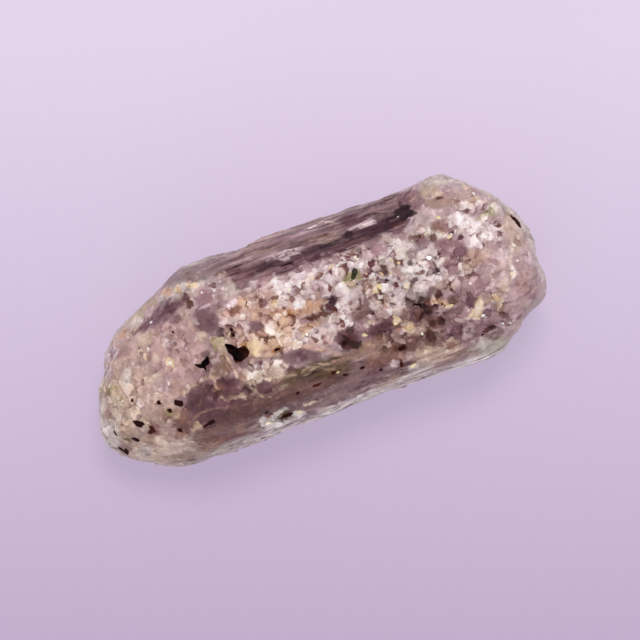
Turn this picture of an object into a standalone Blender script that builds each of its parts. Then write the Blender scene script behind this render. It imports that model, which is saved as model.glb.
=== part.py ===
"""A rough scapolite crystal: a stubby, worn prism that lies on one of its prism faces.

The stone is one piece. Its shape is the space that its crystal faces leave: each face is a plane at
some distance from the stone's heart. The faces meet in worn edges. Low swellings and hollows are
added, and the stone is then fitted to its plan outline, so that its sides have the outline's bumps.

+X runs along the prism, +Y is across it, +Z is up. The origin is on the resting face, under the
middle of the stone's box. Lengths in the tables are millimetres.
"""

import math

import bmesh
import bpy
import numpy as np
from mathutils import Matrix

MM = 0.001

# The stone's box, end to end, side to side and from the table to its crown.
LENGTH = 35.0
WIDTH = 14.3
HEIGHT = 12.4

# The point that the face distances are measured from stands this high over the table.
HEART_HEIGHT = 5.9

# The plan outline, seen from above and taken anticlockwise from the narrow end's tip.
OUTLINE = [
    (-17.40, -2.80), (-17.10, -3.80), (-16.00, -5.20), (-14.10, -6.35), (-12.00, -7.05),
    (-9.50, -7.10), (-6.30, -7.20), (-3.90, -6.95), (-1.80, -7.12), (0.50, -6.98),
    (5.00, -7.00), (11.80, -7.05), (13.60, -6.25), (15.10, -5.00), (16.80, -4.15),
    (17.20, -2.80), (16.95, -1.40), (17.25, 0.10), (16.90, 1.80), (16.00, 3.30),
    (14.60, 4.70), (13.35, 5.85), (11.80, 6.70), (9.70, 6.75), (5.10, 7.15),
    (0.75, 7.18), (-1.50, 7.15), (-3.10, 7.00), (-5.10, 7.15), (-7.80, 7.12),
    (-9.05, 6.55), (-11.85, 5.30), (-13.65, 4.50), (-15.00, 3.25), (-15.65, 1.65),
    (-16.60, 0.00), (-17.20, -1.70),
]

# Each crystal face: its turn about the prism from straight up towards +Y, its lean towards +X,
# both in degrees, and its distance from the heart.
FACES = {
    "crown": (-3, 0, 6.10),
    "upper strip": (46, 0, 6.85),
    "upper flank": (80, 0, 7.15),
    "lower strip": (-39, 0, 6.30),
    "lower flank": (-72, 0, 7.00),
    "base": (180, 0, 6.15),
    "base back bevel": (136, 0, 7.15),
    "base front bevel": (-137, 0, 7.05),
    "narrow end roof": (4, -26, 8.90),
    "narrow end brow": (0, -54, 13.60),
    "narrow end lower roof": (-50, -28, 10.40),
    "narrow end upper roof": (56, -32, 10.30),
    "narrow end keel": (176, -46, 13.40),
    "blunt end roof": (6, 42, 15.00),
    "blunt end upper roof": (52, 40, 15.30),
    "blunt end lower roof": (-48, 38, 14.20),
    "blunt end keel": (182, 44, 15.00),
}
EDGE_CRISPNESS = 26.0

# Swellings (+) and hollows (-) of the upper side: x, y, reach along x, reach along y, height.
SWELLINGS = {
    "overgrowth at the blunt end": (13.4, 5.2, 3.6, 2.3, 0.95),
    "notch before the overgrowth": (8.6, 5.4, 1.7, 1.3, -0.40),
    "hollow on the upper shoulder": (-10.8, 4.6, 2.6, 1.0, -0.30),
    "swelling on the narrow end": (-12.8, -0.6, 3.2, 2.8, 0.35),
    "hollow where the pit lies": (-6.0, -0.1, 1.5, 1.2, -0.40),
    "scar below the crown": (-1.4, -3.3, 3.0, 1.3, -0.35),
    "scar near the blunt end": (8.3, -2.2, 1.7, 1.4, -0.40),
    "granular crest": (2.4, 2.2, 5.6, 1.9, 0.25),
    "granular crest at the blunt end": (13.2, 1.6, 2.4, 2.2, 0.25),
}

# Long worn waves over the whole stone: a direction whose length is turns per millimetre, a phase
# in radians and a height.
WAVES = (
    ((0.11, 0.15, 0.07), 0.4, 0.07),
    ((-0.06, 0.21, 0.12), 2.1, 0.06),
    ((0.19, -0.05, 0.17), 4.0, 0.05),
    ((0.03, 0.24, -0.20), 5.2, 0.04),
)

# The ball that is worked into the stone, and how it is stretched first, so that its faces are even.
BALL_SEGMENTS = 72
BALL_RINGS = 68
BALL_STRETCH = (2.5, 1.05, 1.0)

COLOUR = (0.36, 0.29, 0.33, 1.0)
ROUGHNESS = 0.42

SPAN_POINTS = 12
FULL_TURN = 2 * math.pi


def rounded_outline():
    """Points close together on a smooth closed curve through OUTLINE.

    Each span is a Catmull-Rom cubic: it leaves a point in the direction of the line that joins that
    point's two neighbours.
    """
    knots = np.array(OUTLINE)
    before, after, beyond = (np.roll(knots, -k, axis=0) for k in (-1, 1, 2))
    share = (np.arange(SPAN_POINTS) / SPAN_POINTS)[None, :, None]
    before, here, after, beyond = (p[:, None, :] for p in (before, knots, after, beyond))
    curve = (
        2 * here
        + (after - before) * share
        + (2 * before - 5 * here + 4 * after - beyond) * share**2
        + (3 * here - before - 3 * after + beyond) * share**3
    ) / 2
    return curve.reshape(-1, 2)


def outline_radius(bearing):
    """How far the outline lies from the middle in each direction of the plan."""
    curve = rounded_outline()
    angle = np.arctan2(curve[:, 1], curve[:, 0])
    order = np.argsort(angle)
    return np.interp(bearing, angle[order], np.hypot(*curve[order].T), period=FULL_TURN)


def face_normal(turn, lean):
    """The outward direction of a face from its turn about the prism and its lean to the blunt end."""
    turn, lean = math.radians(turn), math.radians(lean)
    return np.array(
        (math.sin(lean), math.cos(lean) * math.sin(turn), math.cos(lean) * math.cos(turn))
    )


def faced_points(direction):
    """The surface that the faces leave along each direction from the heart.

    Along one direction, a plane at distance d with the outward normal n is met at d / (n . direction),
    and the wall over the outline at its radius over the direction's length in plan. The surface is the
    nearest of these, softened by a power mean so that the edges look worn. The swellings and waves
    then move it away from the prism's axis.
    """
    in_plan = np.hypot(direction[:, 0], direction[:, 1])
    bearing = np.arctan2(direction[:, 1], direction[:, 0])
    closeness = (in_plan / outline_radius(bearing)) ** EDGE_CRISPNESS
    for turn, lean, distance in FACES.values():
        facing = np.maximum(direction @ face_normal(turn, lean), 0) / distance
        closeness += facing**EDGE_CRISPNESS
    points = direction * closeness[:, None] ** (-1 / EDGE_CRISPNESS)
    off_axis = np.maximum(np.hypot(points[:, 1], points[:, 2]), 2.0)
    points[:, 1:] *= 1 + (relief(points) / off_axis)[:, None]
    return points


def relief(points):
    """The sum of the swellings, which are low plateaux on the upper side, and of the long waves."""
    height = np.zeros(len(points))
    upper = np.clip(points[:, 2] / 3, 0, 1)
    for x, y, reach_x, reach_y, rise in SWELLINGS.values():
        away = ((points[:, 0] - x) / reach_x) ** 2 + ((points[:, 1] - y) / reach_y) ** 2
        height += rise * np.exp(-(away**2)) * upper
    for direction, phase, rise in WAVES:
        height += rise * np.sin(FULL_TURN * points @ np.array(direction) + phase)
    return height


def widest_reach(bearings, levels=61):
    """The stone's greatest reach in plan along each bearing, over all heights."""
    bearing, level = np.meshgrid(bearings, np.linspace(-1.1, 1.1, levels), indexing="ij")
    flat = np.cos(level)
    direction = np.stack((flat * np.cos(bearing), flat * np.sin(bearing), np.sin(level)), axis=-1)
    points = faced_points(direction.reshape(-1, 3))
    return np.hypot(points[:, 0], points[:, 1]).reshape(bearing.shape).max(axis=1)


def stone_points(direction):
    """The finished surface along each direction, in millimetres from the origin.

    Each point is moved in or out in plan by the ratio of the outline's radius to the widest reach on
    its bearing. The base is cut level at the table.
    """
    points = faced_points(direction)
    bearings = np.linspace(-math.pi, math.pi, 361)[:-1]
    fit = outline_radius(bearings) / widest_reach(bearings)
    bearing = np.arctan2(points[:, 1], points[:, 0])
    points[:, :2] *= np.interp(bearing, bearings, fit, period=FULL_TURN)[:, None]
    points[:, 2] = np.maximum(points[:, 2] + HEART_HEIGHT, 0)
    return points


def to_box(points):
    """Moves and sizes the stone a little, so that its box is the stated one and it rests at zero."""
    low, high = points.min(axis=0), points.max(axis=0)
    size = np.array((LENGTH, WIDTH, HEIGHT))
    points = (points - low) / (high - low) * size
    points[:, :2] -= size[:2] / 2
    return points


def stone_material():
    material = bpy.data.materials.new("lilac_grey_scapolite")
    material.use_nodes = True
    shader = material.node_tree.nodes["Principled BSDF"]
    shader.inputs["Base Color"].default_value = COLOUR
    shader.inputs["Roughness"].default_value = ROUGHNESS
    shader.inputs["Metallic"].default_value = 0.0
    return material


def scapolite_crystal(collection):
    """A ball with its poles at the stone's two ends, each point moved out to the surface."""
    ball = bmesh.new()
    bmesh.ops.create_uvsphere(
        ball,
        u_segments=BALL_SEGMENTS,
        v_segments=BALL_RINGS,
        radius=1.0,
        matrix=Matrix.Rotation(math.pi / 2, 4, "Y"),
    )
    mesh = bpy.data.meshes.new("scapolite_crystal")
    ball.to_mesh(mesh)
    ball.free()
    direction = np.empty(len(mesh.vertices) * 3, np.float32)
    mesh.vertices.foreach_get("co", direction)
    direction = direction.reshape(-1, 3).astype(float) * BALL_STRETCH
    direction /= np.linalg.norm(direction, axis=1)[:, None]
    points = to_box(stone_points(direction)) * MM
    mesh.vertices.foreach_set("co", points.astype(np.float32).ravel())
    mesh.shade_smooth()
    mesh.materials.append(stone_material())
    mesh.update()
    stone = bpy.data.objects.new("scapolite_crystal", mesh)
    collection.objects.link(stone)
    return stone


def clear_scene():
    for leftover in list(bpy.data.objects):
        bpy.data.objects.remove(leftover)


def main():
    clear_scene()
    collection = bpy.data.collections.new("scapolite")
    bpy.context.scene.collection.children.link(collection)
    scapolite_crystal(collection)


main()
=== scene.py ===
# %% [markdown]
# # The looks of a rough scapolite crystal
#
# The stone is a stubby, worn prism of scapolite, 35 mm long. Its upper side carries a band of pale,
# sugary grains. Its long faces are streaked along the prism, and dark mica sits in small pits.
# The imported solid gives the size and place. Everything here is skin, grains, finish and light.

# %% Load the frame
import itertools
import math

import bpy
import numpy as np
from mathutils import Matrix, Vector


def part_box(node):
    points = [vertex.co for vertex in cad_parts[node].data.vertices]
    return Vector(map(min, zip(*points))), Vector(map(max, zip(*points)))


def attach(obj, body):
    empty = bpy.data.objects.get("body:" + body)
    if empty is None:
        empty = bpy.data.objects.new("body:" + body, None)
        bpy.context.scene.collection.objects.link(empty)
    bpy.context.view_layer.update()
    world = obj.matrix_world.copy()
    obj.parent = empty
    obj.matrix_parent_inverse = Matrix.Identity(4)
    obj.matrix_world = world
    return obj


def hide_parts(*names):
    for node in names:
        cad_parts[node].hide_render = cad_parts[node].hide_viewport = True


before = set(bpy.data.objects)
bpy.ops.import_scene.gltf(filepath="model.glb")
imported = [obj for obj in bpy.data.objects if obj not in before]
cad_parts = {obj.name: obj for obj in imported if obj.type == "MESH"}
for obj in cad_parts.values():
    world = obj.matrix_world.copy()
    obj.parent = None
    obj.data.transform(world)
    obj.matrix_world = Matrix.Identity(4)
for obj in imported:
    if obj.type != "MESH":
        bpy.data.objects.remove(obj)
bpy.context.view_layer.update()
MM = 0.001
FULL_TURN = 2 * math.pi

# %% [markdown]
# ## The worn crystal
#
# A crystal is the space that its faces leave. Each face is a plane at some distance from the stone's
# heart, and the plan outline is a wall. A subdivided box would give the same body, but its edges
# would all wear alike. Here one formula gives the distance to the surface along any direction, so a
# grid of any fineness can be laid over the stone. It is the same formula as the solid's.

# %% The stone's crystal faces, outline and swellings, in millimetres
LENGTH = 35.0
WIDTH = 14.3
HEIGHT = 12.4
HEART_HEIGHT = 5.9
OUTLINE = [
    (-17.40, -2.80), (-17.10, -3.80), (-16.00, -5.20), (-14.10, -6.35), (-12.00, -7.05),
    (-9.50, -7.10), (-6.30, -7.20), (-3.90, -6.95), (-1.80, -7.12), (0.50, -6.98),
    (5.00, -7.00), (11.80, -7.05), (13.60, -6.25), (15.10, -5.00), (16.80, -4.15),
    (17.20, -2.80), (16.95, -1.40), (17.25, 0.10), (16.90, 1.80), (16.00, 3.30),
    (14.60, 4.70), (13.35, 5.85), (11.80, 6.70), (9.70, 6.75), (5.10, 7.15),
    (0.75, 7.18), (-1.50, 7.15), (-3.10, 7.00), (-5.10, 7.15), (-7.80, 7.12),
    (-9.05, 6.55), (-11.85, 5.30), (-13.65, 4.50), (-15.00, 3.25), (-15.65, 1.65),
    (-16.60, 0.00), (-17.20, -1.70),
]
# Turn about the prism from straight up towards +Y, lean towards +X, distance from the heart.
FACES = {
    "crown": (-3, 0, 6.10),
    "upper strip": (46, 0, 6.85),
    "upper flank": (80, 0, 7.15),
    "lower strip": (-39, 0, 6.30),
    "lower flank": (-72, 0, 7.00),
    "base": (180, 0, 6.15),
    "base back bevel": (136, 0, 7.15),
    "base front bevel": (-137, 0, 7.05),
    "narrow end roof": (4, -26, 8.90),
    "narrow end brow": (0, -54, 13.60),
    "narrow end lower roof": (-50, -28, 10.40),
    "narrow end upper roof": (56, -32, 10.30),
    "narrow end keel": (176, -46, 13.40),
    "blunt end roof": (6, 42, 15.00),
    "blunt end upper roof": (52, 40, 15.30),
    "blunt end lower roof": (-48, 38, 14.20),
    "blunt end keel": (182, 44, 15.00),
}
EDGE_CRISPNESS = 26.0
# Place, reach along and across the prism, height.
SWELLINGS = {
    "overgrowth at the blunt end": (13.4, 5.2, 3.6, 2.3, 0.95),
    "notch before the overgrowth": (8.6, 5.4, 1.7, 1.3, -0.40),
    "hollow on the upper shoulder": (-10.8, 4.6, 2.6, 1.0, -0.30),
    "swelling on the narrow end": (-12.8, -0.6, 3.2, 2.8, 0.35),
    "hollow where the pit lies": (-6.0, -0.1, 1.5, 1.2, -0.40),
    "scar below the crown": (-1.4, -3.3, 3.0, 1.3, -0.35),
    "scar near the blunt end": (8.3, -2.2, 1.7, 1.4, -0.40),
    "granular crest": (2.4, 2.2, 5.6, 1.9, 0.25),
    "granular crest at the blunt end": (13.2, 1.6, 2.4, 2.2, 0.25),
}
# Direction in turns per millimetre, phase, height.
WAVES = (
    ((0.11, 0.15, 0.07), 0.4, 0.07),
    ((-0.06, 0.21, 0.12), 2.1, 0.06),
    ((0.19, -0.05, 0.17), 4.0, 0.05),
    ((0.03, 0.24, -0.20), 5.2, 0.04),
)
print(len(FACES), "crystal faces and", len(OUTLINE), "outline points")
print("length, width and height, mm:", LENGTH, WIDTH, HEIGHT)

# %% [markdown]
# Worn edges come from adding the faces up softly. On a ray from the heart, the nearest face would
# give a knife edge where two meet. The sum of a high power of the inverse distances is nearly the
# nearest face's own, except close to an edge, where both count and round it off.

# %% The surface along any direction
SPAN_POINTS = 12
# The swellings fade out over this height, and the surface is held this far off the axis, in mm.
UPPER_SIDE = 3
LEAST_OFF_AXIS = 2.0
# The rays on which the widest reach is looked for, and how steep the steepest is.
BEARINGS = 360
LEVELS = 61
STEEPEST = 1.1


def rounded_outline():
    """Each span is a Catmull-Rom cubic: it leaves a point along the line that joins its neighbours."""
    knots = np.array(OUTLINE)
    before, after, beyond = (np.roll(knots, -k, axis=0) for k in (-1, 1, 2))
    share = (np.arange(SPAN_POINTS) / SPAN_POINTS)[None, :, None]
    before, here, after, beyond = (p[:, None, :] for p in (before, knots, after, beyond))
    curve = (
        2 * here
        + (after - before) * share
        + (2 * before - 5 * here + 4 * after - beyond) * share**2
        + (3 * here - before - 3 * after + beyond) * share**3
    ) / 2
    return curve.reshape(-1, 2)


def outline_radius(bearing):
    """The outline's distance from the middle, read off along each bearing."""
    curve = rounded_outline()
    angle = np.arctan2(curve[:, 1], curve[:, 0])
    order = np.argsort(angle)
    return np.interp(bearing, angle[order], np.hypot(*curve[order].T), period=FULL_TURN)


def face_normal(turn, lean):
    """Straight up, turned about the prism and then leant towards the blunt end."""
    turn, lean = math.radians(turn), math.radians(lean)
    return np.array(
        (math.sin(lean), math.cos(lean) * math.sin(turn), math.cos(lean) * math.cos(turn))
    )


def swollen(points):
    """The sum of flat-topped bells on the upper side and of four long sine waves."""
    height = np.zeros(len(points))
    upper = np.clip(points[:, 2] / UPPER_SIDE, 0, 1)
    for x, y, reach_x, reach_y, rise in SWELLINGS.values():
        away = ((points[:, 0] - x) / reach_x) ** 2 + ((points[:, 1] - y) / reach_y) ** 2
        height += rise * np.exp(-(away**2)) * upper
    for direction, phase, rise in WAVES:
        height += rise * np.sin(FULL_TURN * points @ np.array(direction) + phase)
    return height


def faced_points(direction):
    """The inverse distances to all the faces, put together by a power mean, give worn edges."""
    in_plan = np.hypot(direction[:, 0], direction[:, 1])
    bearing = np.arctan2(direction[:, 1], direction[:, 0])
    closeness = (in_plan / outline_radius(bearing)) ** EDGE_CRISPNESS
    for turn, lean, distance in FACES.values():
        facing = np.maximum(direction @ face_normal(turn, lean), 0) / distance
        closeness += facing**EDGE_CRISPNESS
    points = direction * closeness[:, None] ** (-1 / EDGE_CRISPNESS)
    off_axis = np.maximum(np.hypot(points[:, 1], points[:, 2]), LEAST_OFF_AXIS)
    points[:, 1:] *= 1 + (swollen(points) / off_axis)[:, None]
    return points


def widest_reach(bearings):
    """The greatest plan distance over all heights, on each bearing."""
    levels = np.linspace(-STEEPEST, STEEPEST, LEVELS)
    bearing, level = np.meshgrid(bearings, levels, indexing="ij")
    flat = np.cos(level)
    direction = np.stack((flat * np.cos(bearing), flat * np.sin(bearing), np.sin(level)), axis=-1)
    points = faced_points(direction.reshape(-1, 3))
    return np.hypot(points[:, 0], points[:, 1]).reshape(bearing.shape).max(axis=1)


def stone_points(direction):
    """The faced surface, stretched in plan until its widest reach is the outline, cut level below."""
    points = faced_points(direction)
    bearings = np.linspace(-math.pi, math.pi, BEARINGS + 1)[:-1]
    fit = outline_radius(bearings) / widest_reach(bearings)
    bearing = np.arctan2(points[:, 1], points[:, 0])
    points[:, :2] *= np.interp(bearing, bearings, fit, period=FULL_TURN)[:, None]
    points[:, 2] = np.maximum(points[:, 2] + HEART_HEIGHT, 0)
    return points


top = stone_points(np.array(((0.0, 0.0, 1.0),)))[0, 2]
print("height straight over the heart, mm:", top.round(2))

# %% [markdown]
# The grid runs along the prism from one end's pole to the other's, and round it. Equal steps of
# angle would crowd the ends, so the steps along are respaced by the length of the path they cover.
# The steps round are closer over the crown, where the grains are, than under the base.

# %% Lay the grid over the stone
AROUND = 238
ALONG = 400
CROWDING = 0.35
STRETCH = (2.5, 1.05, 1.0)
PATHS = 24
PATH_STEPS = 241


def ball_directions(along, around):
    """Directions of a stretched ball with its poles on the prism's axis.

    Along runs from 0 to pi between the poles, and around is the angle about the axis.
    """
    along, around = np.meshgrid(along, around, indexing="ij")
    direction = np.stack(
        (-np.cos(along), np.sin(along) * np.cos(around), np.sin(along) * np.sin(around)), axis=-1
    )
    direction = direction.reshape(-1, 3) * STRETCH
    return direction / np.linalg.norm(direction, axis=1)[:, None]


def even_steps(count):
    """Angles along the prism at which the mean length of the paths from pole to pole grows evenly."""
    along = np.linspace(0, math.pi, PATH_STEPS)
    around = np.linspace(0, FULL_TURN, PATHS, endpoint=False)
    paths = stone_points(ball_directions(along, around)).reshape(len(along), len(around), 3)
    steps = np.linalg.norm(np.diff(paths, axis=0), axis=2).mean(axis=1)
    length = np.concatenate(((0,), np.cumsum(steps)))
    return np.interp(np.linspace(0, length[-1], count), length, along)


def to_solid_box(points):
    """Moved and sized by a hair, so that the skin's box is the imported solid's."""
    low, high = points.min(axis=0), points.max(axis=0)
    solid_low, solid_high = (np.array(corner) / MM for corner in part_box("scapolite_crystal"))
    return (points - low) / (high - low) * (solid_high - solid_low) + solid_low


def skin_faces(rings, around):
    """Quads between neighbouring rings, and a fan of triangles round each pole, turned outwards."""
    ring, step = np.meshgrid(np.arange(rings - 1), np.arange(around), indexing="ij")
    here = 1 + ring * around + step
    beside = 1 + ring * around + (step + 1) % around
    quads = np.stack((here, beside, beside + around, here + around), axis=-1).reshape(-1, 4)
    spoke = np.arange(around)
    last = 1 + rings * around
    first_fan = np.stack((np.zeros_like(spoke), 1 + (spoke + 1) % around, 1 + spoke), axis=1)
    base = last - around
    last_fan = np.stack((np.full_like(spoke, last), base + spoke, base + (spoke + 1) % around), axis=1)
    return quads, np.concatenate((first_fan, last_fan))


even_turns = np.linspace(0, FULL_TURN, AROUND, endpoint=False)
turns = even_turns + CROWDING * np.cos(even_turns)
inner_steps = even_steps(ALONG + 2)[1:-1]
poles = np.array(((-1.0, 0.0, 0.0), (1.0, 0.0, 0.0)))
directions = np.concatenate((poles[:1], ball_directions(inner_steps, turns), poles[1:]))
rest = to_solid_box(stone_points(directions))
quads, fans = skin_faces(ALONG, AROUND)
print(len(rest), "points and", 2 * len(quads) + len(fans), "triangles in the skin")
print("skin box, mm:", rest.min(axis=0).round(2), rest.max(axis=0).round(2))

# %% [markdown]
# ## Node maths
#
# Patterns are made of nodes, in the finishes and, further down, on the mesh as well. A pattern is
# mostly sums and products, so the class below wraps a socket, and an expression on it adds the node
# that works the expression out.

# %% Wrap a socket
class Wire:
    """A socket that can be added, multiplied and so on. Values use Math nodes, vectors Vector Math."""

    def __init__(self, socket):
        """Keeps the socket and the tree that it is in."""
        self.socket = socket
        self.tree = socket.id_data

    def node(self, kind, inputs=(), out=0, **settings):
        """Adds any node beside this socket: its settings first, then its sockets' values or links."""
        return add_node(self.tree, kind, inputs, out, **settings)

    def is_vector(self):
        """Whether the socket carries three numbers: a vector or a colour."""
        return self.socket.type in ("VECTOR", "RGBA")

    def maths(self, operation, *others, out=0):
        """Vector Math where any term has three numbers, with plain numbers made into three, or Math."""
        terms = (self, *others)
        vector = any(isinstance(t, tuple) or isinstance(t, Wire) and t.is_vector() for t in terms)
        kind = "ShaderNodeVectorMath" if vector else "ShaderNodeMath"
        if vector:
            terms = [(t, t, t) if isinstance(t, (int, float)) else t for t in terms]
        return self.node(kind, dict(enumerate(terms)), out, operation=operation)

    def __add__(self, other):
        return self.maths("ADD", other)

    def __mul__(self, other):
        return self.maths("MULTIPLY", other)

    def __sub__(self, other):
        return self.maths("SUBTRACT", other)

    def __rsub__(self, other):
        return self * -1.0 + other

    __radd__ = __add__
    __rmul__ = __mul__

    def dot(self, other):
        """The sum of the products of the three pairs of numbers."""
        return self.maths("DOT_PRODUCT", other, out="Value")

    def above(self, floor):
        """This, or the floor where this is lower."""
        return self.maths("MAXIMUM", floor)

    def part(self, axis):
        """One of a vector's or colour's three numbers."""
        return self.node("ShaderNodeSeparateXYZ", {0: self}, out=axis)

    def ramp(self, low, high, to_low=0.0, to_high=1.0):
        """Runs from to_low to to_high as this goes from low to high, in an even S."""
        span = {"From Min": low, "From Max": high, "To Min": to_low, "To Max": to_high}
        return self.node("ShaderNodeMapRange", {"Value": self, **span}, interpolation_type="SMOOTHSTEP")

    def mix(self, other, share):
        """This colour where the share is 0, the other where it is 1."""
        return blend(self, other, share)


def plug(tree, socket, value):
    """Links a wire to the socket, or sets a plain value on it."""
    if isinstance(value, Wire):
        tree.links.new(value.socket, socket)
    else:
        socket.default_value = value


def add_node(tree, kind, inputs=(), out=0, **settings):
    """Adds a node, gives it its settings and then its sockets, and wraps one of its outputs."""
    node = tree.nodes.new(kind)
    for name, value in settings.items():
        setattr(node, name, value)
    for key, value in dict(inputs).items():
        plug(tree, node.inputs[key], value)
    return Wire(node.outputs[out])


# The Mix node's sockets for colours come after those for numbers and vectors.
MIX_COOL, MIX_WARM, MIX_RESULT = 6, 7, 2


def blend(cool, warm, share):
    """One colour where the share is 0 and the other where it is 1."""
    inputs = {"Factor": share, MIX_COOL: cool, MIX_WARM: warm}
    return share.node("ShaderNodeMix", inputs, out=MIX_RESULT, data_type="RGBA")


print("node maths ready")

# %% [markdown]
# ## Grains
#
# Crystals that grow against each other meet in flat borders: they are the cells round scattered
# seeds. The same nodes work in a finish and on a mesh, so the grains that are raised on the mesh are
# the very grains that the finish colours, and their edges stay crisp between the mesh's points.

# %% One pattern of grains, as nodes
MIDDLE = (0.5, 0.5, 0.5)


def grain_nodes(at, size, stir, stretch=1.0, shift=0.0):
    """Cells round seeds, size across and stretch times as long, their borders bent by up to stir.

    Gives the seed's place, three random numbers, and the height over the seed's level of a plane
    through it that is tilted by those numbers.
    """
    noise = {"Vector": at, "Scale": 0.8 / size, "Detail": 3.0, "Roughness": 0.6}
    swirl = at.node("ShaderNodeTexNoise", noise, out="Color")
    bent = at + (swirl - MIDDLE) * (2 * stir)
    if stretch != 1.0 or shift:
        bent = bent * (1 / stretch, 1.0, 1.0) + (shift, 0.0, 0.0)
    cells = {"Vector": bent, "Scale": 1 / size}
    draw = at.node("ShaderNodeTexVoronoi", cells, out="Color")
    seed = at.node("ShaderNodeTexVoronoi", cells, out="Position")
    lean = (bent - seed).dot((draw - MIDDLE) * 2.0)
    return {"draw": draw, "seed": seed, "lean": lean, "cells": cells}


# Size, stir, stretch and shift of each pattern, in millimetres.
GRAINS = {
    "coarse": (1.10, 0.34, 1.0, 0.0),
    "fine": (0.56, 0.27, 1.0, 40.0),
    "drawn": (0.26, 0.08, 8.0, 80.0),
}
print("grain sizes, mm:", {name: values[0] for name, values in GRAINS.items()})

# %% [markdown]
# Nodes can also run on a mesh. The skin's points go in as a loose cloud, a small tree stores the
# pattern on each of them, and the stored values come back as arrays. Working the cells out again in
# numpy would never match the renderer's own random numbers, and this does to the last digit.

# %% Read the grains off at the skin's points
def mesh_piece(name, points, faces, smooth_faces=True):
    """A mesh object at the origin, from points in millimetres and groups of faces."""
    mesh = bpy.data.meshes.new(name)
    corners = [face for group in faces for face in group.tolist()]
    mesh.from_pydata((points * MM).tolist(), [], corners)
    if smooth_faces:
        mesh.shade_smooth()
    else:
        mesh.shade_flat()
    piece = bpy.data.objects.new(name, mesh)
    bpy.context.scene.collection.objects.link(piece)
    return piece


def give(piece, name, values):
    """Puts a number, or a vector of three, on each point of a piece."""
    values = np.asarray(values, np.float32)
    kind, key = ("FLOAT", "value") if values.ndim == 1 else ("FLOAT_VECTOR", "vector")
    piece.data.attributes.new(name, kind, "POINT").data.foreach_set(key, values.ravel())


def read_grains(points):
    """Runs the grain nodes on a cloud of points and reads the stored results back as arrays."""
    sheet = mesh_piece("grain_sheet", points, ())
    give(sheet, "rest", points)
    tree = bpy.data.node_groups.new("read_grains", "GeometryNodeTree")
    for direction in ("INPUT", "OUTPUT"):
        tree.interface.new_socket("Geometry", in_out=direction, socket_type="NodeSocketGeometry")
    flow = add_node(tree, "NodeGroupInput")
    at = add_node(tree, "GeometryNodeInputNamedAttribute", {"Name": "rest"}, data_type="FLOAT_VECTOR")
    widths = {"draw": 3, "seed": 3, "lean": 1}
    for name, settings in GRAINS.items():
        wires = grain_nodes(at, *settings)
        for key, width in widths.items():
            kind = "FLOAT_VECTOR" if width == 3 else "FLOAT"
            store = {"Geometry": flow, "Name": f"{name} {key}", "Value": wires[key]}
            flow = flow.node("GeometryNodeStoreNamedAttribute", store, data_type=kind)
    end = tree.nodes.new("NodeGroupOutput")
    tree.links.new(flow.socket, end.inputs[0])
    sheet.modifiers.new("read", "NODES").node_group = tree
    done = sheet.evaluated_get(bpy.context.evaluated_depsgraph_get()).data
    read = {}
    for name in GRAINS:
        for key, width in widths.items():
            values = np.empty(len(points) * width, np.float32)
            stored = done.attributes[f"{name} {key}"].data
            stored.foreach_get("vector" if width == 3 else "value", values)
            read[name, key] = values.astype(float).reshape(len(points), width)
    bpy.data.objects.remove(sheet)
    return read


grain = read_grains(rest)
print("coarse draws, mean:", grain["coarse", "draw"].mean(axis=0).round(2))

# %% [markdown]
# ## Clouds
#
# A cloud is smooth noise: random numbers on a lattice, blended between. Clouds say where the stone
# is pinker or darker, and how it swells, for all the points at once.

# %% Clouds
LATTICE = 32
TINY = 1e-12


def cloud(points, size, seed):
    """Random numbers from -1 to 1 on a lattice, blended by eased shares of the eight corners."""
    values = np.random.default_rng(seed).uniform(-1, 1, (LATTICE, LATTICE, LATTICE))
    place = points / size
    corner = np.floor(place).astype(int)
    share = place - corner
    share = share * share * (3 - 2 * share)
    total = np.zeros(len(points))
    for step in itertools.product((0, 1), repeat=3):
        weight = np.where(step, share, 1 - share).prod(axis=1)
        i, j, k = ((corner + step) % LATTICE).T
        total += weight * values[i, j, k]
    return total


def billows(points, size, seed, octaves=3):
    """Clouds on top of each other, each half as large and half as strong as the last."""
    layers = (cloud(points, size / 2**n, seed + n) / 2**n for n in range(octaves))
    return sum(layers) / (2 - 2 / 2**octaves)


def stirred(points, size, reach, seed):
    """Each point moved by up to reach along each axis, by three clouds."""
    moves = (cloud(points, size, seed + 10 * axis) for axis in range(3))
    return points + reach * np.stack(tuple(moves), axis=1)


def eased(value, low, high):
    """0 below low, 1 above high, and an even S between."""
    share = np.clip((value - low) / (high - low), 0, 1)
    return share * share * (3 - 2 * share)


def unit(vectors):
    """Each vector over its own length, and no division by 0."""
    return vectors / np.maximum(np.linalg.norm(vectors, axis=-1, keepdims=True), TINY)


def point_normals(points, triangles):
    """The mean of the triangle normals round each point, each weighted by its area."""
    a, b, c = (points[triangles[:, n]] for n in range(3))
    across = np.cross(b - a, c - a)
    sums = np.zeros_like(points)
    for n in range(3):
        for axis in range(3):
            sums[:, axis] += np.bincount(triangles[:, n], across[:, axis], len(points))
    return unit(sums)


triangles = np.concatenate((quads[:, [0, 1, 2]], quads[:, [0, 2, 3]], fans))
rest_normals = point_normals(rest, triangles)
print("share of the skin that faces up:", (rest_normals[:, 2] > 0).mean().round(2))

# %% [markdown]
# ## Where the stone is what
#
# The stone's colour changes over patches of a few tenths of a millimetre to several millimetres. Each
# patch is a soft ellipse on the upper side, with its place, reach, turn, colour and strength. A patch
# is looked up at the seed of a whole grain, so that a grain is of one colour and a patch ends where
# its grains end. Veins, which cut across the grains, are soft lines instead.
#
# The colours are named, and are judged from the photo as seen on a screen. A renderer adds up light,
# so each is turned into light, less the thin veil of white that gloss and air lay over everything.

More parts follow.
